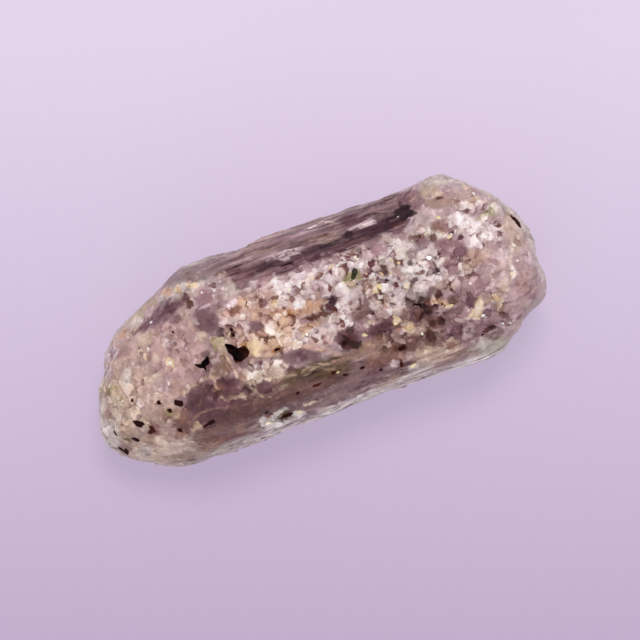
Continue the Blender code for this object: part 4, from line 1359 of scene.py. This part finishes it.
# %% [markdown]
# In the pits the wall is a matt black, partly weathered mica and partly painted shade of the deep
# hollow, rusty on the side away from the narrow end.
# It is a second shader, mixed in by the depth inside the pit's outline, so that no light goes under
# its skin as it does in the stone.

# %% The stone's finish
# Scapolite bends light by an index of 1.54 to 1.60, more with more calcium in it.
GLASS_INDEX = 1.56
DULLEST = 0.50
SHINIEST_BY = 0.34
RUST_PLACE = 4.1
# The pit's black is partly painted shade of the hollow.
PIT_BLACK = (0.006, 0.002, 0.002, 1.0)
PIT_RED = (0.095, 0.022, 0.012, 1.0)


def add_pit_wall(tree, at, dust):
    """Mixes the wall in where the depth is over 0, from black to red by place and noise."""
    wall = {"Roughness": 0.8, "Specular IOR Level": 0.1}
    pit_wall = add_node(tree, "ShaderNodeBsdfPrincipled", wall)
    rust = noise(at, 1.8) * 0.8 + at.part(0) * 0.7 - at.part(1) * 0.5 + RUST_PLACE
    stain = blend(PIT_BLACK, PIT_RED, rust.ramp(0.0, 1.0))
    plug(tree, pit_wall.socket.node.inputs["Base Color"], stain)
    within = (attribute(tree, "pit") + dust * 0.03).ramp(-0.02, 0.03)
    stone_shader = Wire(tree.nodes["Principled BSDF"].outputs[0])
    both = add_node(tree, "ShaderNodeMixShader", {0: within, 1: stone_shader, 2: pit_wall})
    plug(tree, tree.nodes["Material Output"].inputs["Surface"], both)


def stone_finish():
    """The patch's colour tinted by the tone, with glassy faces, fine relief and some light inside."""
    material, tree, shader = new_finish("lilac_grey_scapolite")
    at, mineral = (attribute(tree, name, "Vector") for name in ("rest", "mineral"))
    sugar, drawn, calm = (attribute(tree, name) for name in ("sugar", "drawn", "calm"))
    rough = calm * -CALMING + 1.0
    coarse, fine, long = (grain_nodes(at, *settings) for settings in GRAINS.values())
    specks = grain_nodes(at, *SPECKS)["draw"]
    broken = coarse["draw"].part(2).ramp(*BREAKS_AT)
    dust = noise(at, 5.0)
    hairs = noise(at * (0.10, 1.0, 1.0), 5.5, 3.0, 0.55)
    tone = blocky_tone(at, coarse, fine, broken, sugar, rough) * (1 - drawn)
    tone = tone + drawn_tone(at, long, hairs) * drawn
    tone = tone + speck_tone(specks, sugar) * 0.6 * (1 - drawn * 0.6)
    tone = tone + dust * 0.22 + noise(at, 1.2, 4.0) * 0.30 - 0.04
    warmth = (fine["draw"].part(2) * 0.6 + noise(at, 0.8) * 0.3) * (1 - drawn * 0.6)
    frost = (sugar * 1.2 + specks.part(0).ramp(*SPECK_AT) * 0.5).ramp(0.2, 1.2)
    plug(tree, shader["Base Color"], tinted(mineral, tone, warmth, frost))
    shine = fine["draw"].part(1).ramp(0.55, 0.95) * sugar
    plug(tree, shader["Roughness"], DULLEST - shine * SHINIEST_BY + dust * 0.06)
    height = fine["lean"] * broken * sugar * rough * 0.25 * (1 - drawn)
    height = height + hairs * drawn * 0.025 + dust * 0.006
    bump = at.node("ShaderNodeBump", {"Height": height * MM, "Distance": 1.0, "Strength": 0.8})
    plug(tree, shader["Normal"], bump)
    set_plain(shader, IOR=GLASS_INDEX, Specular_IOR_Level=0.20)
    set_plain(shader, Subsurface_Weight=0.06, Subsurface_Scale=0.25 * MM)
    set_plain(shader, Subsurface_Radius=(1.0, 0.78, 0.75))
    set_plain(shader, Sheen_Weight=0.15, Sheen_Roughness=0.25, Sheen_Tint=(0.90, 0.92, 0.84, 1.0))
    add_pit_wall(tree, at, dust)
    return material


stone.data.materials.append(stone_finish())
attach(stone, "root")
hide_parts("scapolite_crystal")
print("faces in the skin:", len(stone.data.polygons))

# %% [markdown]
# ## Grains that stand out
#
# Where the stone is sugary, single grains stand out of the skin: blunt six-sided blocks, each cut by
# a flat cleavage face. A hundred rolls of one block would look alike, so each grain is a profile of
# three rings with its own jitter, and one call works all of them out as arrays.

# %% A grain as three jittered rings
SIDES = 6
# Height, as a share of the grain's rise, and radius, as a share of its reach, of each ring.
GRAIN_PROFILE = ((-0.9, 0.60), (0.0, 1.0), (0.70, 0.66))
POINTS_EACH = SIDES * len(GRAIN_PROFILE)
# How far a corner's angle may be off, in radians, and between which shares its radius may lie, first
# for the three rings together and then for each.
ANGLE_JITTER = 0.38
CORNER_JITTER = (0.80, 1.15)
RING_JITTER = (0.94, 1.06)
SLOPE_GAIN = 1.4


def blocks(places, normals, along, across, rise, turn, tilt, seed):
    """Points and faces of many grains.

    A ring's point is its radius at its angle, both jittered, stretched by the grain's two reaches.
    The top ring lies in one plane, tilted at random by up to tilt, and a flat face closes it.
    """
    rng = np.random.default_rng(seed)
    count, rings = len(places), len(GRAIN_PROFILE)
    level, radius = (np.array(values)[None, :, None] for values in zip(*GRAIN_PROFILE))
    steps = np.arange(SIDES)
    angle = steps / SIDES * FULL_TURN + rng.uniform(-ANGLE_JITTER, ANGLE_JITTER, (count, 1, SIDES))
    radius = radius * rng.uniform(*CORNER_JITTER, (count, 1, SIDES))
    radius = radius * rng.uniform(*RING_JITTER, (count, rings, SIDES))
    u = radius * np.cos(angle) * np.asarray(along)[:, None, None]
    v = radius * np.sin(angle) * np.asarray(across)[:, None, None]
    slope = rng.uniform(-tilt, tilt, (2, count, 1, 1))
    leaning = slope[0] * u + slope[1] * v
    w = level * np.asarray(rise)[:, None, None] + np.maximum(level, 0) * SLOPE_GAIN * leaning
    level_way = np.stack((np.cos(turn), np.sin(turn), np.zeros(count)), axis=1)
    side = unit(np.cross(normals, level_way))
    front = np.cross(side, normals)
    amounts = ((u, front), (v, side), (w, normals))
    points = places[:, None, None] + sum(amount[..., None] * way[:, None, None] for amount, way in amounts)
    starts = np.arange(count) * POINTS_EACH
    grain_start, ring, step = np.meshgrid(starts, np.arange(rings - 1), steps, indexing="ij")
    here = grain_start + ring * SIDES + step
    beside = grain_start + ring * SIDES + (step + 1) % SIDES
    walls = np.stack((here, beside, beside + SIDES, here + SIDES), axis=-1).reshape(-1, 4)
    floors = starts[:, None] + steps[::-1]
    tops = starts[:, None] + (rings - 1) * SIDES + steps
    return points.reshape(-1, 3), (walls, floors, tops)


def grain_piece(name, slot_name, finish, points, faces, **values):
    """A flat-faced piece that rides on the stone. Each value has one number or colour for a grain."""
    piece = mesh_piece(name, points, faces, smooth_faces=False)
    for key, value in values.items():
        give(piece, key, np.repeat(value, POINTS_EACH, axis=0))
    give(piece, "rest", points)
    piece.data.materials.append(finish)
    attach(piece, "root")
    print(name, len(points) // POINTS_EACH, "grains")


# %% [markdown]
# The sugary grains sit on the cells of the fine pattern, so they cover its raised faces. Each takes
# the mean place, normal and colour of the skin's points in its cell, and the root of its area.

# %% Gather the fine cells
def cell_means(values, cell, count):
    """The mean over each cell of numbers that are given at the skin's points."""
    share = np.bincount(cell, minlength=count)
    return np.stack([np.bincount(cell, column, count) / share for column in values.T], axis=1)


def point_areas(points, triangles):
    """A third of the area of the triangles round each point."""
    a, b, c = (points[triangles[:, n]] for n in range(3))
    area = np.linalg.norm(np.cross(b - a, c - a), axis=1) / 6
    return sum(np.bincount(triangles[:, n], area, len(points)) for n in range(3))


seed_places, cell = np.unique(grain["fine", "seed"].round(3), axis=0, return_inverse=True)
cell = cell.ravel()
cells = len(seed_places)
cell_area = np.bincount(cell, point_areas(rest, triangles), cells)
cell_state = cell_means(np.stack((sugar, drawn, pit, rest[:, 2]), axis=1), cell, cells)
cell_place = cell_means(skin, cell, cells)
cell_normal = unit(cell_means(rest_normals, cell, cells))
cell_colour = cell_means(mineral, cell, cells)
cell_draw = cell_means(fine_draw, cell, cells)
print(cells, "fine cells, mean area", cell_area.mean().round(3), "mm2")

# %% [markdown]
# A sugary grain is a crumb of the same scapolite as the stone round it, broken along its cleavage. So
# it has its cell's colour, and its flat faces are glassier than the worn skin. The draws ride on the
# grain's points as three numbers: the first sets how pale it is, the second how glassy and the third
# how warm. In this way one material serves all of them.

# %% The finish of a glassy grain
# The deepest and the palest tone, the least and the most roughness, and the least and the most frost.
GRAIN_TONE = (-0.6, 0.95)
GRAIN_ROUGHNESS = (0.10, 0.40)
GRAIN_FROST = (0.6, 1.0)


def sugary_finish():
    """The cell's colour, tinted by a tone that runs from deepest to palest by the draw, with noise."""
    material, tree, shader = new_finish("sugary_crystal_grains")
    at, own_colour, draw = (attribute(tree, key, "Vector") for key in ("rest", "mineral", "draw"))
    tone = draw.part(0) * (GRAIN_TONE[1] - GRAIN_TONE[0]) + GRAIN_TONE[0]
    tone = tone + noise(at, 1.2) * 0.25 + noise(at, 4.0) * 0.12
    frosted = noise(at, 2.0).ramp(-1.0, 1.0, *GRAIN_FROST)
    plug(tree, shader["Base Color"], tinted(own_colour, tone, draw.part(2) * 0.6, frosted))
    dull = draw.part(1).ramp(0.2, 1.0, GRAIN_ROUGHNESS[1], GRAIN_ROUGHNESS[0])
    plug(tree, shader["Roughness"], dull + noise(at, 6.0) * 0.03)
    set_plain(shader, IOR=GLASS_INDEX, Subsurface_Weight=0.2, Subsurface_Scale=0.3 * MM)
    set_plain(shader, Subsurface_Radius=(1.0, 0.8, 0.75))
    return material


print("tone of the sugary grains:", GRAIN_TONE)

# %% [markdown]
# Grains stand where the stone is sugary and not drawn out, clear of the pits and the base. They stand
# on about one in four of those cells, so that the broken skin shows between them. A block is lower
# than it is wide, because it is still bedded in the stone, and longer one way, as cleavage makes it.

# %% Sugary grains
LEAST_SUGAR = 0.5
MOST_DRAWN = 0.4
CLEAR_OF_PIT = -0.15
OVER_BASE = 1.0
LEAST_DRAW = 0.76
LEAST_AREA = 0.02
SIZE_RANGE = (0.75, 1.25)
LENGTH_TO_WIDTH = (1.1, 2.6)
FLATNESS = (0.25, 0.50)
SUNK_BY = 0.03


def standing_grains(name, chosen, tilt, seed):
    """Blocks on the chosen cells. A cell's circle of the same area gives the reach of its block."""
    rng = np.random.default_rng(seed)
    count = chosen.sum()
    reach = np.sqrt(cell_area[chosen] / math.pi) * rng.uniform(*SIZE_RANGE, count)
    longer = rng.uniform(*LENGTH_TO_WIDTH, count)
    rise = reach * rng.uniform(*FLATNESS, count)
    turn = rng.uniform(0, FULL_TURN, count)
    normals = cell_normal[chosen]
    places = cell_place[chosen] - normals * SUNK_BY
    along, across = reach * longer**0.5, reach / longer**0.5
    points, faces = blocks(places, normals, along, across, rise, turn, tilt, seed + 1)
    values = {"mineral": cell_colour[chosen], "draw": cell_draw[chosen]}
    grain_piece(name, "sugary_crystal_grains", sugary_finish(), points, faces, **values)


cell_sugar, cell_drawn, cell_pit, cell_level = cell_state.T
chosen = (cell_sugar > LEAST_SUGAR) & (cell_drawn < MOST_DRAWN) & (cell_pit < CLEAR_OF_PIT)
chosen &= (cell_level > OVER_BASE) & (cell_draw[:, 1] > LEAST_DRAW) & (cell_area > LEAST_AREA)
standing_grains("sugary_grains", chosen, tilt=0.40, seed=700)

# %% [markdown]
# ## Mica, brassy, green and bright grains
#
# These grains are few, and each shows, so each has its own place. A place on the upper side is given
# in plan, and the nearest point of the skin carries it. Grains of the same kinds, seeded at random,
# dot the sides and the base as well.

# %% Place listed grains, and more by chance
# How much further off in plan a point may be for each millimetre that it is higher.
HIGHER_BY = 0.06
# The normal's height over which a point can be seen from above, and that under which it can't.
FACES_UP = -0.1
FACES_DOWN = -0.12
OFF_THE_BASE = 0.5


def nearest_points(places):
    """The skin's points that lie nearest in plan, among those that face up."""
    facing = np.flatnonzero(rest_normals[:, 2] > FACES_UP)
    offsets = as_read(skin[facing])[None, :, :2] - np.array(places, float)[:, None, :2]
    away = np.linalg.norm(offsets, axis=2)
    return facing[(away - HIGHER_BY * skin[facing, 2]).argmin(axis=1)]


def chance_points(count, seed):
    """Random points of the sides and the base, as likely as the area round them."""
    hidden = (rest_normals[:, 2] < FACES_DOWN) & (rest[:, 2] > OFF_THE_BASE)
    area = point_areas(rest, triangles) * hidden
    return np.random.default_rng(seed).choice(len(rest), count, False, area / area.sum())


def placed_grains(name, slot_name, finish, rows, chance, rise, tilt, seed, lift=0.0, size=1.0):
    """Rows of x, y, reach along, reach across and turn, and as many more by chance as is asked.

    Rise is the height over the lesser reach. Chance grains take their reaches from the rows.
    """
    rng = np.random.default_rng(seed)
    rows = np.array(rows, float) * (1, 1, size, size, 1)
    spots = np.concatenate((nearest_points(rows), chance_points(chance, seed + 1)))
    along = np.concatenate((rows[:, 2], rng.choice(rows[:, 2], chance)))
    across = np.concatenate((rows[:, 3], rng.choice(rows[:, 3], chance)))
    turn = np.concatenate((np.radians(rows[:, 4]), rng.uniform(0, FULL_TURN, chance)))
    normals = rest_normals[spots]
    proud = skin[spots] + normals * lift
    height = np.minimum(along, across) * rise
    points, faces = blocks(proud, normals, along, across, height, turn, tilt, seed + 2)
    values = {"mineral": mineral[spots], "draw": rng.uniform(0, 1, (len(spots), 3))}
    grain_piece(name, slot_name, finish, points, faces, **values)


print("points that face up:", (rest_normals[:, 2] > FACES_UP).sum())

# %% [markdown]
# Mica grows in plates, so a flake is a very low block that lies flat in the skin. It is black, and
# red-brown where it is thin. Its plates are worn, so they have next to no shine.

# %% Dark mica
MICA_BLACK = (0.020, 0.003, 0.003, 1.0)
MICA_RED = (0.070, 0.010, 0.008, 1.0)


def mica_finish():
    """From black to red-brown by the flake's first draw and noise. Its second sets the roughness."""
    material, tree, shader = new_finish("dark_mica_inclusions")
    at, draw = (attribute(tree, key, "Vector") for key in ("rest", "draw"))
    thin = (draw.part(0) * 1.6 - 0.6 + noise(at, 5.0) * 0.35).ramp(0.0, 1.0)
    plug(tree, shader["Base Color"], blend(MICA_BLACK, MICA_RED, thin))
    plug(tree, shader["Roughness"], draw.part(1) * 0.25 + 0.45 + noise(at, 7.0) * 0.05)
    set_plain(shader, Specular_IOR_Level=0.06)
    return material


placed_grains(
    "dark_mica_flakes", "dark_mica_inclusions", mica_finish(), MICA,
    chance=45, rise=0.25, tilt=0.08, seed=800, lift=0.02, size=1.15,
)

# %% [markdown]
# The brassy grains are yellow-brown and glassy, and their pale gold is partly a painted glint. The
# green ones, side by side, are a dark glassy mineral. The bright ones are glossy crumbs of scapolite
# whose cream to white colour is a painted glint. They are blocks like the sugary grains, but
# steeper, and each kind has two colours that its grains lie between.

# %% Brassy, green and bright grains: x, y, reach along, reach across, turn
# Places of yellow-brown grains, whose pale gold is partly a painted glint.
BRASSY = [
    (5.35, 0.50, 0.20, 0.17, 0), (5.80, 0.65, 0.24, 0.28, 20), (6.20, 1.50, 0.22, 0.13, -50),
    (6.85, 1.35, 0.13, 0.10, 0), (3.50, -2.30, 0.22, 0.13, -25), (6.00, -1.75, 0.13, 0.10, 0),
    (6.00, -2.20, 0.20, 0.22, 0), (6.80, -3.00, 0.34, 0.24, -30), (6.45, -2.80, 0.20, 0.14, 20),
    (9.30, -1.80, 0.24, 0.16, -30), (10.05, -2.40, 0.42, 0.16, 0), (7.30, 2.30, 0.12, 0.11, 0),
    (-1.65, -1.20, 0.30, 0.20, 10), (-4.85, -0.35, 0.16, 0.13, 0), (-5.15, -1.35, 0.14, 0.14, 0),
    (-7.30, 5.65, 0.24, 0.16, -30), (-8.40, 5.65, 0.14, 0.24, 0), (-5.05, 5.65, 0.18, 0.10, 0),
    (13.63, -3.05, 0.20, 0.42, 30), (11.70, 4.00, 0.20, 0.13, -20), (2.80, 3.35, 0.36, 0.09, 25),
    (0.05, -2.20, 0.18, 0.15, 0), (-2.00, 2.30, 0.26, 0.13, 0),
    (5.20, 1.90, 0.10, 0.10, 0), (7.75, 1.95, 0.13, 0.10, 0), (0.70, -4.25, 0.18, 0.10, 10),
]
GREEN = [(4.42, 2.38, 0.26, 0.34, 20), (4.05, 1.90, 0.24, 0.17, 30), (4.25, 2.12, 0.20, 0.20, 0)]
# Places of glints, painted as glossy grains of cream to white.
PAINTED_GLINT_GRAINS = [
    (-12.40, 4.50, 0.14, 0.11, 0), (-12.25, 4.65, 0.10, 0.10, 0), (-12.00, 2.27, 0.10, 0.16, 0),
    (-14.40, 1.80, 0.09, 0.09, 0), (-15.15, -0.75, 0.16, 0.12, 0), (-12.55, -1.10, 0.20, 0.15, -30),
    (-14.25, -1.65, 0.14, 0.20, 20), (-14.45, -1.90, 0.14, 0.14, 0), (-15.35, -4.43, 0.12, 0.12, 0),
    (-12.00, -6.80, 0.10, 0.08, 0), (-6.80, 4.85, 0.12, 0.11, 0), (-5.85, 4.65, 0.15, 0.15, 0),
    (-11.40, -0.70, 0.10, 0.16, -30), (-10.80, 0.70, 0.15, 0.15, 0), (4.80, 3.25, 0.24, 0.24, 0),
    (1.25, 3.05, 0.16, 0.13, 0), (2.30, 3.15, 0.14, 0.10, 30), (7.65, 0.05, 0.24, 0.32, 0),
    (9.95, 1.50, 0.30, 0.20, -20), (4.30, -1.55, 0.30, 0.15, -10), (-0.90, -0.80, 0.36, 0.12, 20),
    (7.55, -3.60, 0.11, 0.26, 10), (12.10, 2.42, 0.17, 0.16, 0), (10.40, 3.30, 0.22, 0.12, 0),
    (13.40, -5.00, 0.10, 0.10, 0), (14.00, -5.15, 0.08, 0.08, 0), (14.70, 4.85, 0.13, 0.22, -30),
    (-0.55, 2.85, 0.30, 0.22, 10), (-0.30, 1.60, 0.34, 0.26, 0), (-1.40, 3.65, 0.22, 0.30, 0),
    (8.85, 5.15, 0.10, 0.08, 0), (-5.45, -2.30, 0.28, 0.22, 0), (-5.50, -6.05, 0.34, 0.28, 0),
    (-4.85, -6.35, 0.24, 0.20, 0), (-3.00, -6.00, 0.22, 0.18, 0), (6.10, -5.70, 0.30, 0.16, 30),
    (12.30, -3.90, 0.18, 0.12, 0), (11.40, 2.85, 0.09, 0.08, 0), (11.60, 2.82, 0.08, 0.08, 0),
    (-11.10, 4.05, 0.17, 0.16, 0), (16.05, -1.00, 0.13, 0.10, 0), (3.35, 3.20, 0.16, 0.10, 0),
    (11.95, 0.93, 0.18, 0.20, 20), (12.00, 2.45, 0.20, 0.17, 0), (15.30, -1.86, 0.14, 0.24, 10),
    (15.48, -1.42, 0.20, 0.12, 30), (16.18, 0.14, 0.22, 0.14, -40), (13.60, -2.85, 0.10, 0.20, 20),
]


def named_finish(name, cool, warm, roughness, specular=0.5):
    """Between two colours of its own by its first draw and noise, with some light inside."""
    material, tree, shader = new_finish(name)
    at, draw = (attribute(tree, key, "Vector") for key in ("rest", "draw"))
    share = (draw.part(0) + noise(at, 4.0) * 0.25).ramp(0.0, 1.0)
    plug(tree, shader["Base Color"], blend((*cool, 1.0), (*warm, 1.0), share))
    plug(tree, shader["Roughness"], noise(at, 6.0) * 0.05 + roughness)
    set_plain(shader, Specular_IOR_Level=specular, Subsurface_Weight=0.2, Subsurface_Scale=0.3 * MM)
    return material


DEEP_GREEN = (0.010, 0.011, 0.003)
MOSS_GREEN = (0.060, 0.060, 0.016)
brassy_finish = named_finish("brassy_grains", LIGHT["tan"], LIGHT["gold cream"], 0.22)
green_finish = named_finish("green_grains", DEEP_GREEN, MOSS_GREEN, 0.35, 0.15)
# The cream to white of these grains is a painted glint.
painted_glint_finish = named_finish("bright_crystal_grains", LIGHT["cream"], LIGHT["white"], 0.15)
placed_grains(
    "brassy_grains", "brassy_grains", brassy_finish, BRASSY,
    chance=14, rise=0.5, tilt=0.40, seed=810,
)
placed_grains(
    "green_grains", "green_grains", green_finish, GREEN,
    chance=3, rise=0.5, tilt=0.30, seed=820, lift=0.03,
)
placed_grains(
    "bright_grains", "sugary_crystal_grains", painted_glint_finish, PAINTED_GLINT_GRAINS,
    chance=45, rise=0.5, tilt=0.40, seed=830,
)

# %% [markdown]
# ## Floor, light and camera
#
# The floor is a plain pale lilac, painted deeper towards the viewer as a falloff of light, with
# hardly a shadow on it. A floor that is only lit would show a strong one. So part of its paleness is
# its own glow, and only the rest is light that the stone can keep off.

# %% Floor
GLOW = 0.62
GLOW_GAIN = 1.03
FLOOR_FAR = (221, 206, 230)
FLOOR_NEAR = (189, 170, 200)
# The view is turned by this much, and the floor's colour changes up the view, over this length.
TURN = 20.0
FLOOR_FADE = 46
FLOOR_REACH = 3000.0


def floor_finish():
    """Paper between two lilacs by the place up the view, a painted falloff of light, plus a little noise,
    part of it glowing.
    """
    material, tree, shader = new_finish("pale_lilac_paper")
    place = add_node(tree, "ShaderNodeTexCoord", out="Object")
    tooth = place.node("ShaderNodeTexNoise", {"Vector": place, "Scale": 900.0, "Detail": 2.0})
    far, near = ((*as_light(seen), 1.0) for seen in (FLOOR_FAR, FLOOR_NEAR))
    way = (math.sin(math.radians(TURN)), math.cos(math.radians(TURN)), 0.0)
    # Painted light: paler far up the view and deeper near, as light falls off.
    share = place.dot(way) * (1 / (FLOOR_FADE * MM)) + 0.5 + tooth * 0.06
    colour = blend(near, far, share)
    plug(tree, shader["Base Color"], colour * (1 - GLOW))
    plug(tree, shader["Emission Color"], colour)
    set_plain(shader, Emission_Strength=GLOW * GLOW_GAIN, Roughness=0.9)
    return material


corners = np.array(((-1, -1, 0), (1, -1, 0), (1, 1, 0), (-1, 1, 0))) * FLOOR_REACH
floor = mesh_piece("floor", corners.astype(float), (np.array(((0, 1, 2, 3),)),))
floor.data.materials.append(floor_finish())
print("floor, mm across:", 2 * FLOOR_REACH)

# %% [markdown]
# The light is soft and comes from nearly overhead: one wide, slightly warm panel behind the stone,
# a faint one low in front, and a pale room that fills the rest.

# %% Light
AIM_HEIGHT = 6.0
ROOM_COLOUR = (0.80, 0.775, 0.79, 1.0)
ROOM_STRENGTH = 0.80
scene = bpy.context.scene
scene.view_settings.view_transform = "Standard"
world = bpy.data.worlds.new("pale_room")
world.use_nodes = True
room = world.node_tree.nodes["Background"].inputs
room["Color"].default_value = ROOM_COLOUR
room["Strength"].default_value = ROOM_STRENGTH
scene.world = world


def soft_light(name, place, size, power, colour=(1.0, 1.0, 1.0)):
    """A square area light, place and size in millimetres, turned to look at the stone's middle.

    A light looks along its own -Z: tipped by the angle off straight down, then turned to the stone.
    """
    data = bpy.data.lights.new(name, "AREA")
    data.shape = "SQUARE"
    data.size = size * MM
    data.energy = power
    data.color = colour
    light = bpy.data.objects.new(name, data)
    place = np.array(place, float)
    aim = unit(np.array((0.0, 0.0, AIM_HEIGHT)) - place)
    light.location = place * MM
    light.rotation_euler = (math.acos(-aim[2]), 0, math.atan2(aim[1], aim[0]) - math.pi / 2)
    scene.collection.objects.link(light)


soft_light("key_light", (60, 120, 310), 110, 0.52, (1.0, 0.97, 0.93))
soft_light("low_front_light", (-160, -220, 120), 120, 0.09)

# %% [markdown]
# The photo looks straight down on the stone, which lies slantwise across it. The camera has the same
# view: its distance follows from how many millimetres a pixel covers, and it is shifted sideways so
# that the stone's middle comes where the photo has it.

# %% Camera
LENS = 135.0
SENSOR = 36.0
PICTURE = 640
STONE_PIXELS = 470.4
MM_PER_PIXEL = LENGTH / STONE_PIXELS
MIDDLE_PIXEL = (310.2, 322.2)
SILHOUETTE_HEIGHT = 5.5
camera = bpy.data.objects.new("camera", bpy.data.cameras.new("camera"))
camera.data.lens = LENS
camera.data.sensor_width = SENSOR
distance = PICTURE * MM_PER_PIXEL * LENS / SENSOR
turn = math.radians(TURN)
right = np.array((math.cos(turn), -math.sin(turn)))
up = np.array((math.sin(turn), math.cos(turn)))
shift = (PICTURE / 2 - np.array(MIDDLE_PIXEL)) * MM_PER_PIXEL
place = right * shift[0] - up * shift[1]
camera.location = np.array((*place, SILHOUETTE_HEIGHT + distance)) * MM
camera.rotation_euler = (0, 0, -turn)
scene.collection.objects.link(camera)
scene.camera = camera
print("camera", distance, "mm over the stone's middle height")
